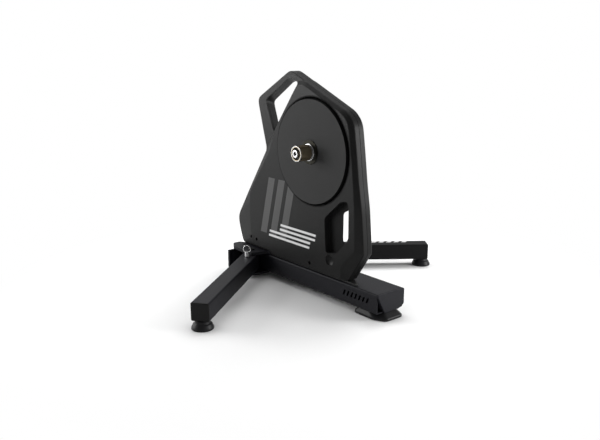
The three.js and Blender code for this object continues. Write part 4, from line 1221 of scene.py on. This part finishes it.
def bearing_finish():
    """Steel races with a dark rubber seal between them, about the hub's axis."""
    surface = Surface("sealed_bearing")
    radius = surface.radius(hub_centre)
    race = half_width(seal_low, seal_high) - seal_race
    seal = surface.between(radius, axle_radius + seal_race, race, 0.0001)
    colour = surface.mix(seal, grey(70), grey(20))
    return surface.finish(colour, seal * 0.3 + 0.22, metal=1 - seal)


def sealed_bearing():
    outer = half_width(seal_low, seal_high)
    near = seal_low.y
    inner_race, outer_race = axle_radius + seal_race, outer - seal_race
    return turned("freehub_seal", [
        (axle_radius, near), (inner_race, near), (inner_race, near + seal_step),
        (outer_race, near + seal_step), (outer_race, near), (outer, near),
        (outer, seal_high.y), (axle_radius, seal_high.y),
    ], hub_centre, sides=96, ease=seal_step / 2)


bearing_steel = bearing_finish()
finished(sealed_bearing(), bearing_steel, "freehub", ["freehub_bearing_outer"])


def end_cap(name, low, high, out):
    outer = half_width(low, high)
    face, rim = (low.y, high.y) if out < 0 else (high.y, low.y)
    seat = face - out * cap_seat
    sunk = face - out * cap_sink
    return turned(name, [
        (cap_bore, sunk), (cap_sink_radius, sunk), (cap_sink_radius, face), (outer, face), (outer, rim),
        (axle_radius, rim), (axle_radius, seat), (cap_bore, seat),
    ], hub_centre, sides=96, ease=cap_ease)


def cap_finish():
    """Bright turned steel, with painted shade, near black and rougher, in the sunk middle."""
    surface = Surface("cap_metal")
    wear = surface.noise(60.0, 4.0)
    middle = surface.ramp(surface.radius(hub_centre), cap_sink_radius, cap_sink_radius - cap_sink_shade_blend)
    colour = surface.mix(middle, surface.mix(wear, grey(196), grey(216)), grey(6))
    return surface.finish(colour, middle * 0.6 + wear * 0.12 + 0.22, metal=1 - middle)


cap_metal = cap_finish()
finished(end_cap("drive_end_cap", cap_low, cap_high, -1), cap_metal, "frame", ["end_cap_drive"])
finished(end_cap("far_end_cap", far_cap_low, far_cap_high, 1), cap_metal, "frame", ["end_cap_far"])

# Inside: aluminium hub core and pulleys, a ribbed rubber belt, a steel flywheel and its shaft, brake
# magnets with copper windings, and the circuit board. These pieces keep the solids' own shapes.


def coat(material, *nodes):
    for node in nodes:
        mesh = bpy.data.objects[node].data
        mesh.materials.clear()
        mesh.materials.append(material)


def cast_metal(name, level, roughness, metal=1.0):
    surface = Surface(name)
    grain = surface.noise(420.0, 4.0)
    colour = surface.mix(grain, grey(level - 8), grey(level + 8))
    gloss = grain * 0.2 + (roughness - 0.1)
    return surface.finish(colour, gloss, surface.bump(grain, 0.0002), metal=metal)


def ribbed_rubber():
    surface = Surface("belt_rubber")
    x, y, z = surface.place()
    ribs = (y * 1800.0).math("SINE")
    wear = surface.noise(90.0, 3.0)
    return surface.finish(
        surface.mix(wear, grey(24), grey(34)), wear * 0.15 + 0.55, surface.bump(ribs, 0.0003),
    )


def board_lacquer():
    surface = Surface("board_lacquer")
    x, y, z = surface.place()
    tracks = (x * 900.0).math("SINE") * (z * 700.0).math("SINE")
    track = surface.ramp(tracks, 0.2, 0.3)
    colour = surface.mix(track, (0.012, 0.075, 0.03, 1.0), (0.02, 0.13, 0.05, 1.0))
    return surface.finish(colour, track * 0.1 + 0.3)


def wound_copper():
    surface = Surface("wound_copper")
    x, y, z = surface.place()
    turns = (y * 6000.0).math("SINE")
    colour = surface.mix(turns * 0.5 + 0.5, (0.28, 0.09, 0.03, 1.0), (0.62, 0.26, 0.12, 1.0))
    return surface.finish(colour, turns * 0.05 + 0.35, surface.bump(turns, 0.0001), metal=1.0)


turned_aluminium = turned_finish("turned_aluminium", 178, 0.34, hub_centre, 900.0, 0.00003)
wheel_steel = turned_finish("wheel_steel", 150, 0.38, cover_centre, 900.0, 0.00003)
pulley_aluminium = cast_metal("pulley_aluminium", 165, 0.4)
coat(turned_aluminium, "hub_core", "belt_pulley")
coat(pulley_aluminium, "small_pulley", "idler_roller")
coat(wheel_steel, "flywheel")
coat(cast_metal("magnet_iron", 96, 0.5), "brake_core")
coat(wound_copper(), "brake_coil_1", "brake_coil_2")
coat(board_lacquer(), "circuit_board")
coat(ribbed_rubber(), "drive_belt")
coat(bearing_steel, "hub_bearing_outer", "hub_bearing_inner", "freehub_bearing_inner")
# The axle's bore takes the caps' painted shade, being inside the sunk middle's radius.
coat(cap_metal, "main_axle")
coat(bright_steel, "flywheel_shaft", "flywheel_nut", "shaft_bearing_near", "shaft_bearing_far")

# Backbone: the aluminium casting that carries the axle and the flywheel, painted black. Its flange is
# bolted on the beam and shows in front of the casing.
backbone_edge = 0.0007
backbone_segments = 2


def merged_copy(name, node):
    """A copy of a CAD piece as one welded mesh."""
    mesh = bpy.data.objects[node].data.copy()
    worked = bmesh.new()
    worked.from_mesh(mesh)
    bmesh.ops.remove_doubles(worked, verts=worked.verts, dist=1e-6)
    bmesh.ops.dissolve_limit(
        worked, angle_limit=math.radians(1), verts=worked.verts, edges=worked.edges,
    )
    worked.to_mesh(mesh)
    worked.free()
    return link(name, mesh)


def eased(body, width, segments, angle=30):
    step = body.modifiers.new("edges", "BEVEL")
    step.width = width
    step.segments = segments
    step.limit_method = "ANGLE"
    step.angle_limit = math.radians(angle)
    step.use_clamp_overlap = True
    return settle(body)


cast_paint = cast_metal("cast_paint", 26, 0.44, 0.0)
backbone = eased(merged_copy("backbone_casting", "backbone"), backbone_edge, backbone_segments)
finished(backbone, cast_paint, "frame", ["backbone"])

# Floor beam: an 80 by 44 mm steel box tube, powder-coated black, with seven slanted slots cut through
# its drive side. A steel plate with a cut corner closes its front end.
beam_low, beam_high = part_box("beam")
front_cap_low, front_cap_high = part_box("beam_front_cap")
tube_wall = 0.003
tube_corner = 0.004
tube_end = 0.0004
slot_count = 7
slot_first = 0.1085
slot_pitch = 0.0118
slot_height = 0.013
slot_width = 0.0055
slot_lean = 0.005
slot_middle_share = 0.54
cap_thickness = 0.004
cap_cut_share = 0.26
cap_cut_top = 0.005
cap_small_cut = 0.008
cap_edge = 0.0012
fit_gap = 0.0003


def along_x(name, outline, levels):
    """A solid on an outline in Y and Z. Each level is how far the outline moves in, and its X."""
    return skin(name, [[(x, spot.x, spot.y) for spot in inset(outline, away)] for away, x in levels])


def flat_skin(name, outline, levels):
    """A solid on an outline in X and Y. Each level is how far the outline moves in, and its Z."""
    return skin(name, [[(spot.x, spot.y, z) for spot in inset(outline, away)] for away, z in levels])


powder_sheen = 0.19


def powder_coat(name, level, blue=5, roughness=0.56, prints=None):
    surface = Surface(name)
    peel = surface.noise(520.0, 2.0)
    cloud = surface.noise(11.0, 3.0)
    colour = surface.mix(cloud, grey(level - 3, 0, blue), grey(level + 3, 0, blue))
    gloss = peel * 0.1 + cloud * 0.06 + (roughness - 0.08)
    if prints:
        colour, gloss = prints(surface, colour, gloss)
    return surface.finish(colour, gloss, surface.bump(peel, 0.00012), sheen=powder_sheen)


black_powder = powder_coat("black_powder", 21)
# Painted light: the front plate's powder is a lighter copy of the beam's, for its end face that the
# lamps light.
plate_powder = powder_coat("plate_powder", 28)


def tube_section(half, low, high, corner):
    return rounded(rectangle(half, low, high), corner)


def floor_beam():
    half = beam_high.y
    low, high = beam_low.z, beam_high.z
    ends = [(tube_end, beam_low.x), (0, beam_low.x + tube_end), (0, beam_high.x - tube_end),
            (tube_end, beam_high.x)]
    outside = along_x("beam_tube", tube_section(half, low, high, tube_corner), ends)
    inner = tube_section(half - tube_wall, low + tube_wall, high - tube_wall, tube_corner - tube_wall)
    tube = cut(outside, along_x("hollow", inner, [(0, beam_low.x - past), (0, beam_high.x + past)]))
    middle = low + (high - low) * slot_middle_share
    outline = []
    for across, up in [(-1, -1), (1, -1), (1, 1), (-1, 1)]:
        outline.append(Vector(((across * slot_width + up * slot_lean) / 2, up * slot_height / 2)))
    outline = rounded(outline, slot_width / 2)
    slot = upright_skin("slot", outline, [(0, -half - past), (0, -half + 2 * tube_wall)])
    return cut_copies.made(
        tube, black_powder, Part=slot, Count=slot_count, Start=(hub_x + slot_first, 0.0, middle),
        Step=(slot_pitch, 0.0, 0.0), Axis=(0.0, 1.0, 0.0), Turn=0.0,
    )


def beam_front_plate():
    half = front_cap_high.y
    low, high = front_cap_low.z, front_cap_high.z
    face = [Vector(corner) for corner in [
        (-half + 2 * half * cap_cut_share, low), (half - 2 * cap_small_cut, low),
        (half, low + cap_small_cut), (half, high), (-half, high), (-half, high - cap_cut_top),
    ]]
    outline = rounded(face, tube_corner)
    front = front_cap_high.x
    near = front - cap_thickness
    plate = along_x("beam_front_plate", outline, [
        (cap_edge / 2, near), (0, near + cap_edge / 2), (0, front - cap_edge),
        (cap_edge * 0.3, front - cap_edge * 0.3), (cap_edge, front),
    ])
    inner = tube_section(
        half - tube_wall - fit_gap, low + tube_wall + fit_gap, high - tube_wall - fit_gap,
        tube_corner - tube_wall,
    )
    plug = along_x("plug", inner, [(0, front_cap_low.x), (0, near + cap_edge)])
    limit = along_x("limit", face, [(0, front_cap_low.x - past), (0, near + past)])
    return joined(plate, combined(plug, "INTERSECT", [limit]))


finished(floor_beam(), black_powder, "frame", ["beam"])
finished(beam_front_plate(), plate_powder, "frame", ["beam_front_cap"])

# Front pad: moulded rubber under the beam's front, with an upright skirt and sloped sides. Its top
# is shorter and narrower than its sole, most of all in front.
pad_low, pad_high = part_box("foot_pad")
pad_top_rear = 0.005
pad_top_front = 0.012
pad_top_side = 0.0055
pad_corner = 0.014
pad_rear_corner = 0.008
pad_skirt = 0.006
pad_edge = 0.0012
pad_reach = 0.006
rubber_sheen = 0.22


def pad_outline(rear, front, half):
    side = [
        (rear, -half + pad_rear_corner), (rear + pad_rear_corner, -half),
        (front - 2 * pad_corner, -half), (front, -half + pad_corner),
    ]
    outline = [*side, *[(x, -y) for x, y in reversed(side)]]
    return rounded([Vector(corner) for corner in outline], pad_reach)


def rubber(name, level):
    surface = Surface(name)
    grain = surface.noise(900.0, 3.0)
    scuff = surface.noise(30.0, 4.0)
    colour = surface.mix(scuff, grey(level - 3, 0, 2), grey(level + 4, 0, 2))
    return surface.finish(colour, scuff * 0.16 + 0.36, surface.bump(grain, 0.0001), sheen=rubber_sheen)


pad_rubber = rubber("pad_rubber", 25)


def front_pad():
    low = pad_outline(pad_low.x, pad_high.x, pad_high.y)
    high = pad_outline(
        pad_low.x + pad_top_rear, pad_high.x - pad_top_front, pad_high.y - pad_top_side,
    )
    levels = [
        (0, pad_edge, pad_low.z), (0, 0, pad_low.z + pad_edge), (0, 0, pad_skirt - pad_edge),
        (0.05, 0.0002, pad_skirt), (0.2, 0.0003, pad_skirt + pad_edge), (0.95, 0, pad_high.z - pad_edge),
        (1, pad_edge, pad_high.z),
    ]
    rings = []
    for share, away, z in levels:
        outline = [base.lerp(top, share) for base, top in zip(low, high)]
        rings.append([(spot.x, spot.y, z) for spot in inset(outline, away)])
    return skin("front_pad", rings)


finished(front_pad(), pad_rubber, "frame", ["foot_pad"], angle=24)

# Leg bracket: two steel plates, powder-coated black, welded over and under the beam's rear. The lower
# one is round about each pivot and has a spacer ring there, and an upright web joins its rear edge.
lower_low, lower_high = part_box("bracket_lower")
bolt_low, bolt_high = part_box("pivot_bolt_drive")
nut_low, nut_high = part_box("pivot_nut_drive")
far_bolt = node_centre("pivot_bolt_far")
near_bolt = node_centre("pivot_bolt_drive")
pin_middle = node_centre("lock_plunger_drive")
pivot_x = near_bolt.x
pivot_spread = far_bolt.y
lock_reach = (Vector((pin_middle.x, pin_middle.y)) - Vector((near_bolt.x, near_bolt.y))).length
lock_radius = 0.004
swing_gap = 0.001
plate_edge = 0.0008
plate_reach = 0.005
bolt_radius = 0.005
bolt_head = 0.008
bolt_recess = 0.0035
bolt_recess_depth = 0.0018
spacer_radius = 0.015
spacer_top = 0.019
web_wall = 0.006
lower_thickness = 0.0057
rim_span = 105
rim_steps = 20
upper_shares = [
    (0.766, -0.58), (0.573, -0.645), (0.379, -1.258), (-0.879, -1.258), (-1.282, -1), (-1.298, -0.677),
    (-0.944, -0.484),
]
lower_rear_shares = [(-0.911, -1.258), (-0.944, -0.58)]


def plate_points(shares):
    return [Vector((pivot_x + across * pivot_spread, along * pivot_spread)) for across, along in shares]


def both_sides(half):
    return [*half, *[Vector((spot.x, -spot.y)) for spot in reversed(half)]]


def eased_levels(low, high, edge):
    return [(edge, low), (edge * 0.3, low + edge * 0.3), (0, low + edge), (0, high - edge),
            (edge * 0.3, high - edge * 0.3), (edge, high)]


def on_each_pivot(name, radius, low, high):
    """A round rod on the axis of each leg's pivot."""
    return [
        rod(name, radius, low, high, (pivot_x, side * pivot_spread), "Z") for side in (-1, 1)
    ]


def pivot_holes(low, high):
    return on_each_pivot("pivot_hole", bolt_radius + fit_gap, low - past, high + past)


def upper_plate():
    outline = rounded(both_sides(plate_points(upper_shares)), plate_reach)
    low, high = bracket_low.z, bracket_high.z
    body = flat_skin("bracket_top_plate", outline, eased_levels(low, high, plate_edge))
    return cut(body, *pivot_holes(low, high))


def lower_plate():
    reach = lock_reach - lock_radius - swing_gap
    rim = []
    for i in range(rim_steps + 1):
        angle = math.radians(rim_span * i / rim_steps)
        rim.append(Vector((pivot_x + reach * math.cos(angle), -pivot_spread - reach * math.sin(angle))))
    outline = both_sides([*rim, *plate_points(lower_rear_shares)])
    top = lower_low.z + lower_thickness
    body = flat_skin("bracket_base_plate", outline, eased_levels(lower_low.z, top, plate_edge))
    web_reach = lower_high.y
    web = [(lower_low.x, -web_reach), (lower_low.x + web_wall, -web_reach),
           (lower_low.x + web_wall, web_reach), (lower_low.x, web_reach)]
    upright_web = flat_skin("web", [Vector(corner) for corner in web],
                            eased_levels(top - plate_edge, lower_high.z, plate_edge))
    spacers = on_each_pivot("spacer", spacer_radius, top - plate_edge, spacer_top)
    return cut(joined(body, upright_web, *spacers), *pivot_holes(lower_low.z, spacer_top))


finished(upper_plate(), black_powder, "frame", ["bracket_upper"])
finished(lower_plate(), black_powder, "frame", ["bracket_lower"])

# Pivot bolts and nuts: black steel, one pair through each end of the bracket's plates. The bolts have
# round heads with a hexagon recess, and the nuts' corners are turned down.
nut_radius = 0.009
nut_slope_share = 0.2
nut_flat_share = 0.88
bolt_turn = 0.3


def hexagon_nut(name, radius, bore, low, high, centre=(0.0, 0.0)):
    """A nut along Z with its corners turned down at both ends."""
    flat = flat_skin("flats", regular(6, radius), [(0, low), (0, high)])
    slope = (high - low) * nut_slope_share
    flat_end = radius * nut_flat_share
    blank = turned("blank", [
        (0, low), (flat_end, low), (radius, low + slope), (radius, high - slope), (flat_end, high),
        (0, high),
    ], (0, 0), "Z", 48)
    body = combined(flat, "INTERSECT", [blank])
    body = cut(body, rod("bore", bore, low - past, high + past, (0, 0), "Z", 32))
    body.name = name
    body.data.transform(Matrix.Translation((centre[0], centre[1], 0)))
    return body


def pivot_bolt():
    top = bolt_high.z
    under = bracket_high.z + fit_gap
    shank = turned("shank", [
        (0, bolt_low.z), (bolt_radius, bolt_low.z), (bolt_radius, under), (bolt_head, under),
        (bolt_head, top), (0, top),
    ], (0, 0), "Z", 64, ease=plate_edge)
    recess = [(0, top - bolt_recess_depth), (0, top + past)]
    return cut(shank, flat_skin("recess", regular(6, bolt_recess), recess))


def on_pivots(name, part):
    places = [(pivot_x, side * pivot_spread, 0.0) for side in (-1, 1)]
    points = points_at(name, places)
    return fasteners.made(points, black_screw_steel, Part=part, Axis=(0.0, 0.0, 1.0), Turn=bolt_turn)


nut = hexagon_nut("nut", nut_radius, bolt_radius + fit_gap, nut_low.z, nut_high.z)
finished(on_pivots("pivot_bolts", pivot_bolt()), black_screw_steel, "frame",
         ["pivot_bolt_drive", "pivot_bolt_far"])
finished(on_pivots("pivot_nuts", nut), black_screw_steel, "frame",
         ["pivot_nut_drive", "pivot_nut_far"])

# Legs: 40 mm square steel tube, powder-coated black, closed by moulded caps. Each turns on its pivot
# bolt, is held by a sprung steel pin that is pulled up by a ring, and stands on a rubber foot whose
# threaded stud sets its height.
leg_wall = 0.0025
leg_corner = 0.004
leg_cap_thickness = 0.004
leg_cap_edge = 0.0022
leg_cap_plug = 0.01
leg_round_edge = 0.001
leg_round_steps = 24
foot_inset = 0.014
stud_radius = 0.005
stud_pitch = 0.0015
stud_thread = 0.0005
running_gap = 0.001
collar_rise = 0.008
collar_height = 0.003
collar_radius = 0.007
nose_chamfer = 0.001
barrel_radius = 0.006
knob_radius = 0.0055
knob_height = 0.006
knob_ease = 0.0009
pull_ring_major = 0.009
pull_ring_wire = 0.0012
pull_ring_steps = 14
spring_radius = 0.0057
spring_wire = 0.0007
spring_turns = 5.0
spring_steps = 24
spring_sides = 8
cup_radius = 0.0235
cup_shoulder = 0.0195
cup_neck = 0.0155
cup_skirt = 0.004
cup_shoulder_height = 0.0118
cup_ease = 0.0014
leg_bar_start = 0.195
leg_bar_end = 0.312
leg_bar_middle = 0.01
leg_bar_half = 0.0045
leg_bar_lean = 0.6
leg_bar_pitch = 0.02
leg_bar_share = 0.62


def leg_frame(side):
    """Where a leg's pivot and direction put a piece that is built along +X, and its foot's reach."""
    pivot = node_centre("pivot_bolt_" + side)
    foot = node_centre("foot_cup_" + side)
    turn = math.atan2(foot.y - pivot.y, foot.x - pivot.x)
    place = Matrix.Translation((pivot.x, pivot.y, 0)) @ Matrix.Rotation(turn, 4, "Z")
    return place, turn, math.hypot(foot.x - pivot.x, foot.y - pivot.y)


def leg_bars(surface, colour, gloss):
    """A plain row of slanted pale bars on the far leg's top."""
    pivot = node_centre("pivot_bolt_far")
    turn = leg_frame("far")[1]
    sockets = {"Vector": surface.spot, "Location": (pivot.x, pivot.y, 0.0), "Rotation": (0.0, 0.0, turn)}
    spot = surface.node("ShaderNodeMapping", {"vector_type": "TEXTURE"}, sockets).outputs[0]
    split = surface.node("ShaderNodeSeparateXYZ", None, {0: spot})
    along, across, up = [Value(surface, axis) for axis in split.outputs]
    across = across - leg_bar_middle
    lean = along - across * leg_bar_lean
    span = surface.between(lean, leg_bar_start, leg_bar_end, print_edge)
    row = surface.between(across, -leg_bar_half, leg_bar_half, print_edge)
    turns = (lean - leg_bar_start).math("MODULO", leg_bar_pitch)
    bar = surface.between(turns, print_edge, leg_bar_pitch * leg_bar_share, print_edge)
    top = surface.ramp(up, leg_high - 2 * print_edge, leg_high - print_edge)
    return surface.mix(span * row * bar * top, colour, grey(215)), gloss


leg_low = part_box("leg_cap_drive")[0].z
leg_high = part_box("leg_cap_drive")[1].z
leg_half = (leg_high - leg_low) / 2


def leg_section(less):
    corner = leg_corner - min(less, leg_wall)
    return tube_section(leg_half - less, leg_low + less, leg_high - less, corner)


def leg_limit(less, end, levels):
    """The leg's plan: round about the pivot, and wider than the tube in front of it."""
    wide = leg_half + past
    plan = [Vector((end, -wide)), Vector((end, wide)), Vector((0, wide))]
    for i in range(leg_round_steps + 1):
        angle = math.pi / 2 + math.pi * i / leg_round_steps
        plan.append(Vector(((leg_half - less) * math.cos(angle), (leg_half - less) * math.sin(angle))))
    plan.append(Vector((0, -wide)))
    return flat_skin("limit", plan, levels)


def leg_tube(side, foot_reach):
    end = foot_reach + foot_inset - leg_cap_thickness
    rear = -leg_half - past
    ends = [(0, rear), (0, end - tube_end), (tube_end, end)]
    limit = leg_limit(0, end + past, eased_levels(leg_low, leg_high, leg_round_edge))
    outside = along_x("leg_tube_" + side + "_shell", leg_section(0), ends)
    outside = combined(outside, "INTERSECT", [limit])
    hollow = along_x("hollow", leg_section(leg_wall), [(0, rear), (0, end + past)])
    inner = leg_limit(leg_wall, end + 2 * past, [(0, leg_low - past), (0, leg_high + past)])
    hollow = combined(hollow, "INTERSECT", [inner])
    low, high = leg_low - past, leg_high + past
    return cut(
        outside,
        hollow,
        rod("bolt_hole", bolt_radius + fit_gap, low, high, (0, 0), "Z"),
        rod("pin_hole", lock_radius + fit_gap, low, high, (lock_reach, 0), "Z"),
        rod("stud_hole", stud_radius + fit_gap, low, leg_low + 2 * leg_wall, (foot_reach, 0), "Z"),
    )


def leg_cap(side, foot_reach):
    front = foot_reach + foot_inset
    near = front - leg_cap_thickness + fit_gap
    levels = [(tube_end, near), (0, near + tube_end)]
    levels += [
        (leg_cap_edge * (1 - math.cos(turn)), front - leg_cap_edge * (1 - math.sin(turn)))
        for turn in [math.pi / 2 * i / disc_edge_steps for i in range(disc_edge_steps + 1)]
    ]
    face = along_x("leg_end_cap_" + side, leg_section(0), levels)
    plug = along_x("plug", leg_section(leg_wall + fit_gap), [
        (0, near - leg_cap_plug), (0, near + leg_cap_edge),
    ])
    stud_room = rod("stud_room", stud_radius + running_gap, leg_low, leg_high, (foot_reach, 0), "Z")
    return joined(face, cut(plug, stud_room))


def pull_ring(side, wire):
    """A wire ring through the knob, upright and square to the leg."""
    knob_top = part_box("lock_plunger_" + side)[1].z
    middle = knob_top - knob_height / 2 + pull_ring_major
    circle = []
    for i in range(pull_ring_steps):
        angle = 2 * math.pi * i / pull_ring_steps
        circle.append((pull_ring_major + wire * math.cos(angle), wire * math.sin(angle)))
    body = turned("pull_ring_" + side, circle, (0, middle), "Y", 48)
    body.data.transform(Matrix.Translation((lock_reach, 0, 0)) @ Matrix.Rotation(math.pi / 2, 4, "Z"))
    return body


def lock_pin(side):
    low, high = (corner.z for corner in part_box("lock_plunger_" + side))
    collar = leg_low + leg_wall + collar_rise
    knob = high - knob_height
    body = turned("lock_pin_" + side + "_turned", [
        (0, low), (lock_radius - nose_chamfer, low), (lock_radius, low + nose_chamfer),
        (lock_radius, collar), (collar_radius, collar), (collar_radius, collar + collar_height),
        (lock_radius, collar + collar_height), (lock_radius, knob), (knob_radius, knob),
        (knob_radius, high), (0, high),
    ], (lock_reach, 0), "Z", 48, ease=knob_ease)
    return cut(body, pull_ring(side, pull_ring_wire + fit_gap))


def placed(body, place):
    body.data.transform(place)
    return body


def spring_recipe():
    recipe = Recipe("wound_spring", Turns="Float", Radius="Float", Wire="Float", Height="Float")
    given = recipe.given
    path = recipe.node("GeometryNodeCurveSpiral", None, {
        "Resolution": spring_steps, "Rotations": given["Turns"], "Start Radius": given["Radius"],
        "End Radius": given["Radius"], "Height": given["Height"],
    })
    section = recipe.node("GeometryNodeCurvePrimitiveCircle", None, {
        "Resolution": spring_sides, "Radius": given["Wire"],
    })
    sockets = {"Curve": path.outputs[0], "Profile Curve": section.outputs[0], "Fill Caps": True}
    return recipe.end(recipe.node("GeometryNodeCurveToMesh", None, sockets).outputs[0])


wound_spring = spring_recipe()
spring_low = leg_low + leg_wall + collar_rise + collar_height + fit_gap
spring_high = leg_high - leg_wall - fit_gap


def lock_spring(side):
    """The spring over the pin's collar, made at one length: it is not pressed together here as the pin
    comes up.
    """
    body = wound_spring.made(
        points_at("wound_spring_" + side, [(0, 0, 0)]), bright_steel, Turns=spring_turns,
        Radius=spring_radius, Wire=spring_wire, Height=spring_high - spring_low - 2 * spring_wire,
    )
    return placed(body, Matrix.Translation((lock_reach, 0, spring_low + spring_wire)))


def foot_stud(side, foot_reach):
    low, high = (corner.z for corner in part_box("foot_stud_" + side))
    profile = [(0, low)]
    for i in range(int((high - low) / stud_pitch)):
        profile.append((stud_radius - stud_thread, low + i * stud_pitch))
        profile.append((stud_radius, low + (i + 0.5) * stud_pitch))
    profile += [(stud_radius - stud_thread, high), (0, high)]
    return turned("threaded_stud_" + side, profile, (foot_reach, 0), "Z", 32)


def foot_cup(side, foot_reach):
    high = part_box("foot_cup_" + side)[1].z
    shoulder = cup_shoulder_height
    return turned("foot_rubber_" + side, [
        (0, 0), (cup_radius, 0), (cup_radius, cup_skirt), (cup_shoulder, shoulder),
        (cup_neck + cup_ease, shoulder + cup_ease), (cup_neck, high), (stud_radius + fit_gap, high),
        (stud_radius + fit_gap, cup_skirt), (0, cup_skirt),
    ], (foot_reach, 0), "Z", 96, ease=cup_ease)


# Painted shade: the far leg's powder is a darker, less blue copy of the near leg's.
leg_coats = {"drive": black_powder, "far": powder_coat("far_leg_powder", 11, 1, 0.66, leg_bars)}
cap_plastic = moulded_plastic("cap_plastic", 23, 26, 0.44)
foot_rubber = rubber("foot_rubber", 25)
zinc_steel = steel("zinc_steel", 205, 0.3)
for leg_side in ("drive", "far"):
    leg_at, _, reach_to_foot = leg_frame(leg_side)
    leg_body, pin_body, foot_body = (name + leg_side for name in ("leg_", "pin_", "foot_"))
    barrel_low, barrel_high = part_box("lock_barrel_" + leg_side)
    pin_barrel = hexagon_nut(
        "pin_barrel_" + leg_side, barrel_radius, lock_radius + fit_gap, barrel_low.z, barrel_high.z,
        (lock_reach, 0),
    )
    for made, coat_used, carrier, node, slot in [
        (leg_tube(leg_side, reach_to_foot), leg_coats[leg_side], leg_body, "leg_tube_", "paint_black"),
        (leg_cap(leg_side, reach_to_foot), cap_plastic, leg_body, "leg_cap_", "paint_black"),
        (pin_barrel, zinc_steel, leg_body, "lock_barrel_", "bright_steel"),
        (lock_pin(leg_side), zinc_steel, pin_body, "lock_plunger_", "bright_steel"),
        (pull_ring(leg_side, pull_ring_wire), bright_steel, pin_body, "lock_ring_", "bright_steel"),
        (foot_stud(leg_side, reach_to_foot), zinc_steel, foot_body, "foot_stud_", "bright_steel"),
        (foot_cup(leg_side, reach_to_foot), foot_rubber, foot_body, "foot_cup_", "rubber_black"),
    ]:
        finished(placed(made, leg_at), coat_used, carrier, [node + leg_side])
    spring = placed(lock_spring(leg_side), leg_at)
    finished(spring, bright_steel, leg_body, ["lock_spring_" + leg_side])
    spring_top = node_centre("lock_plunger_" + leg_side)
    spring_top.z = spring_high
    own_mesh(spring)
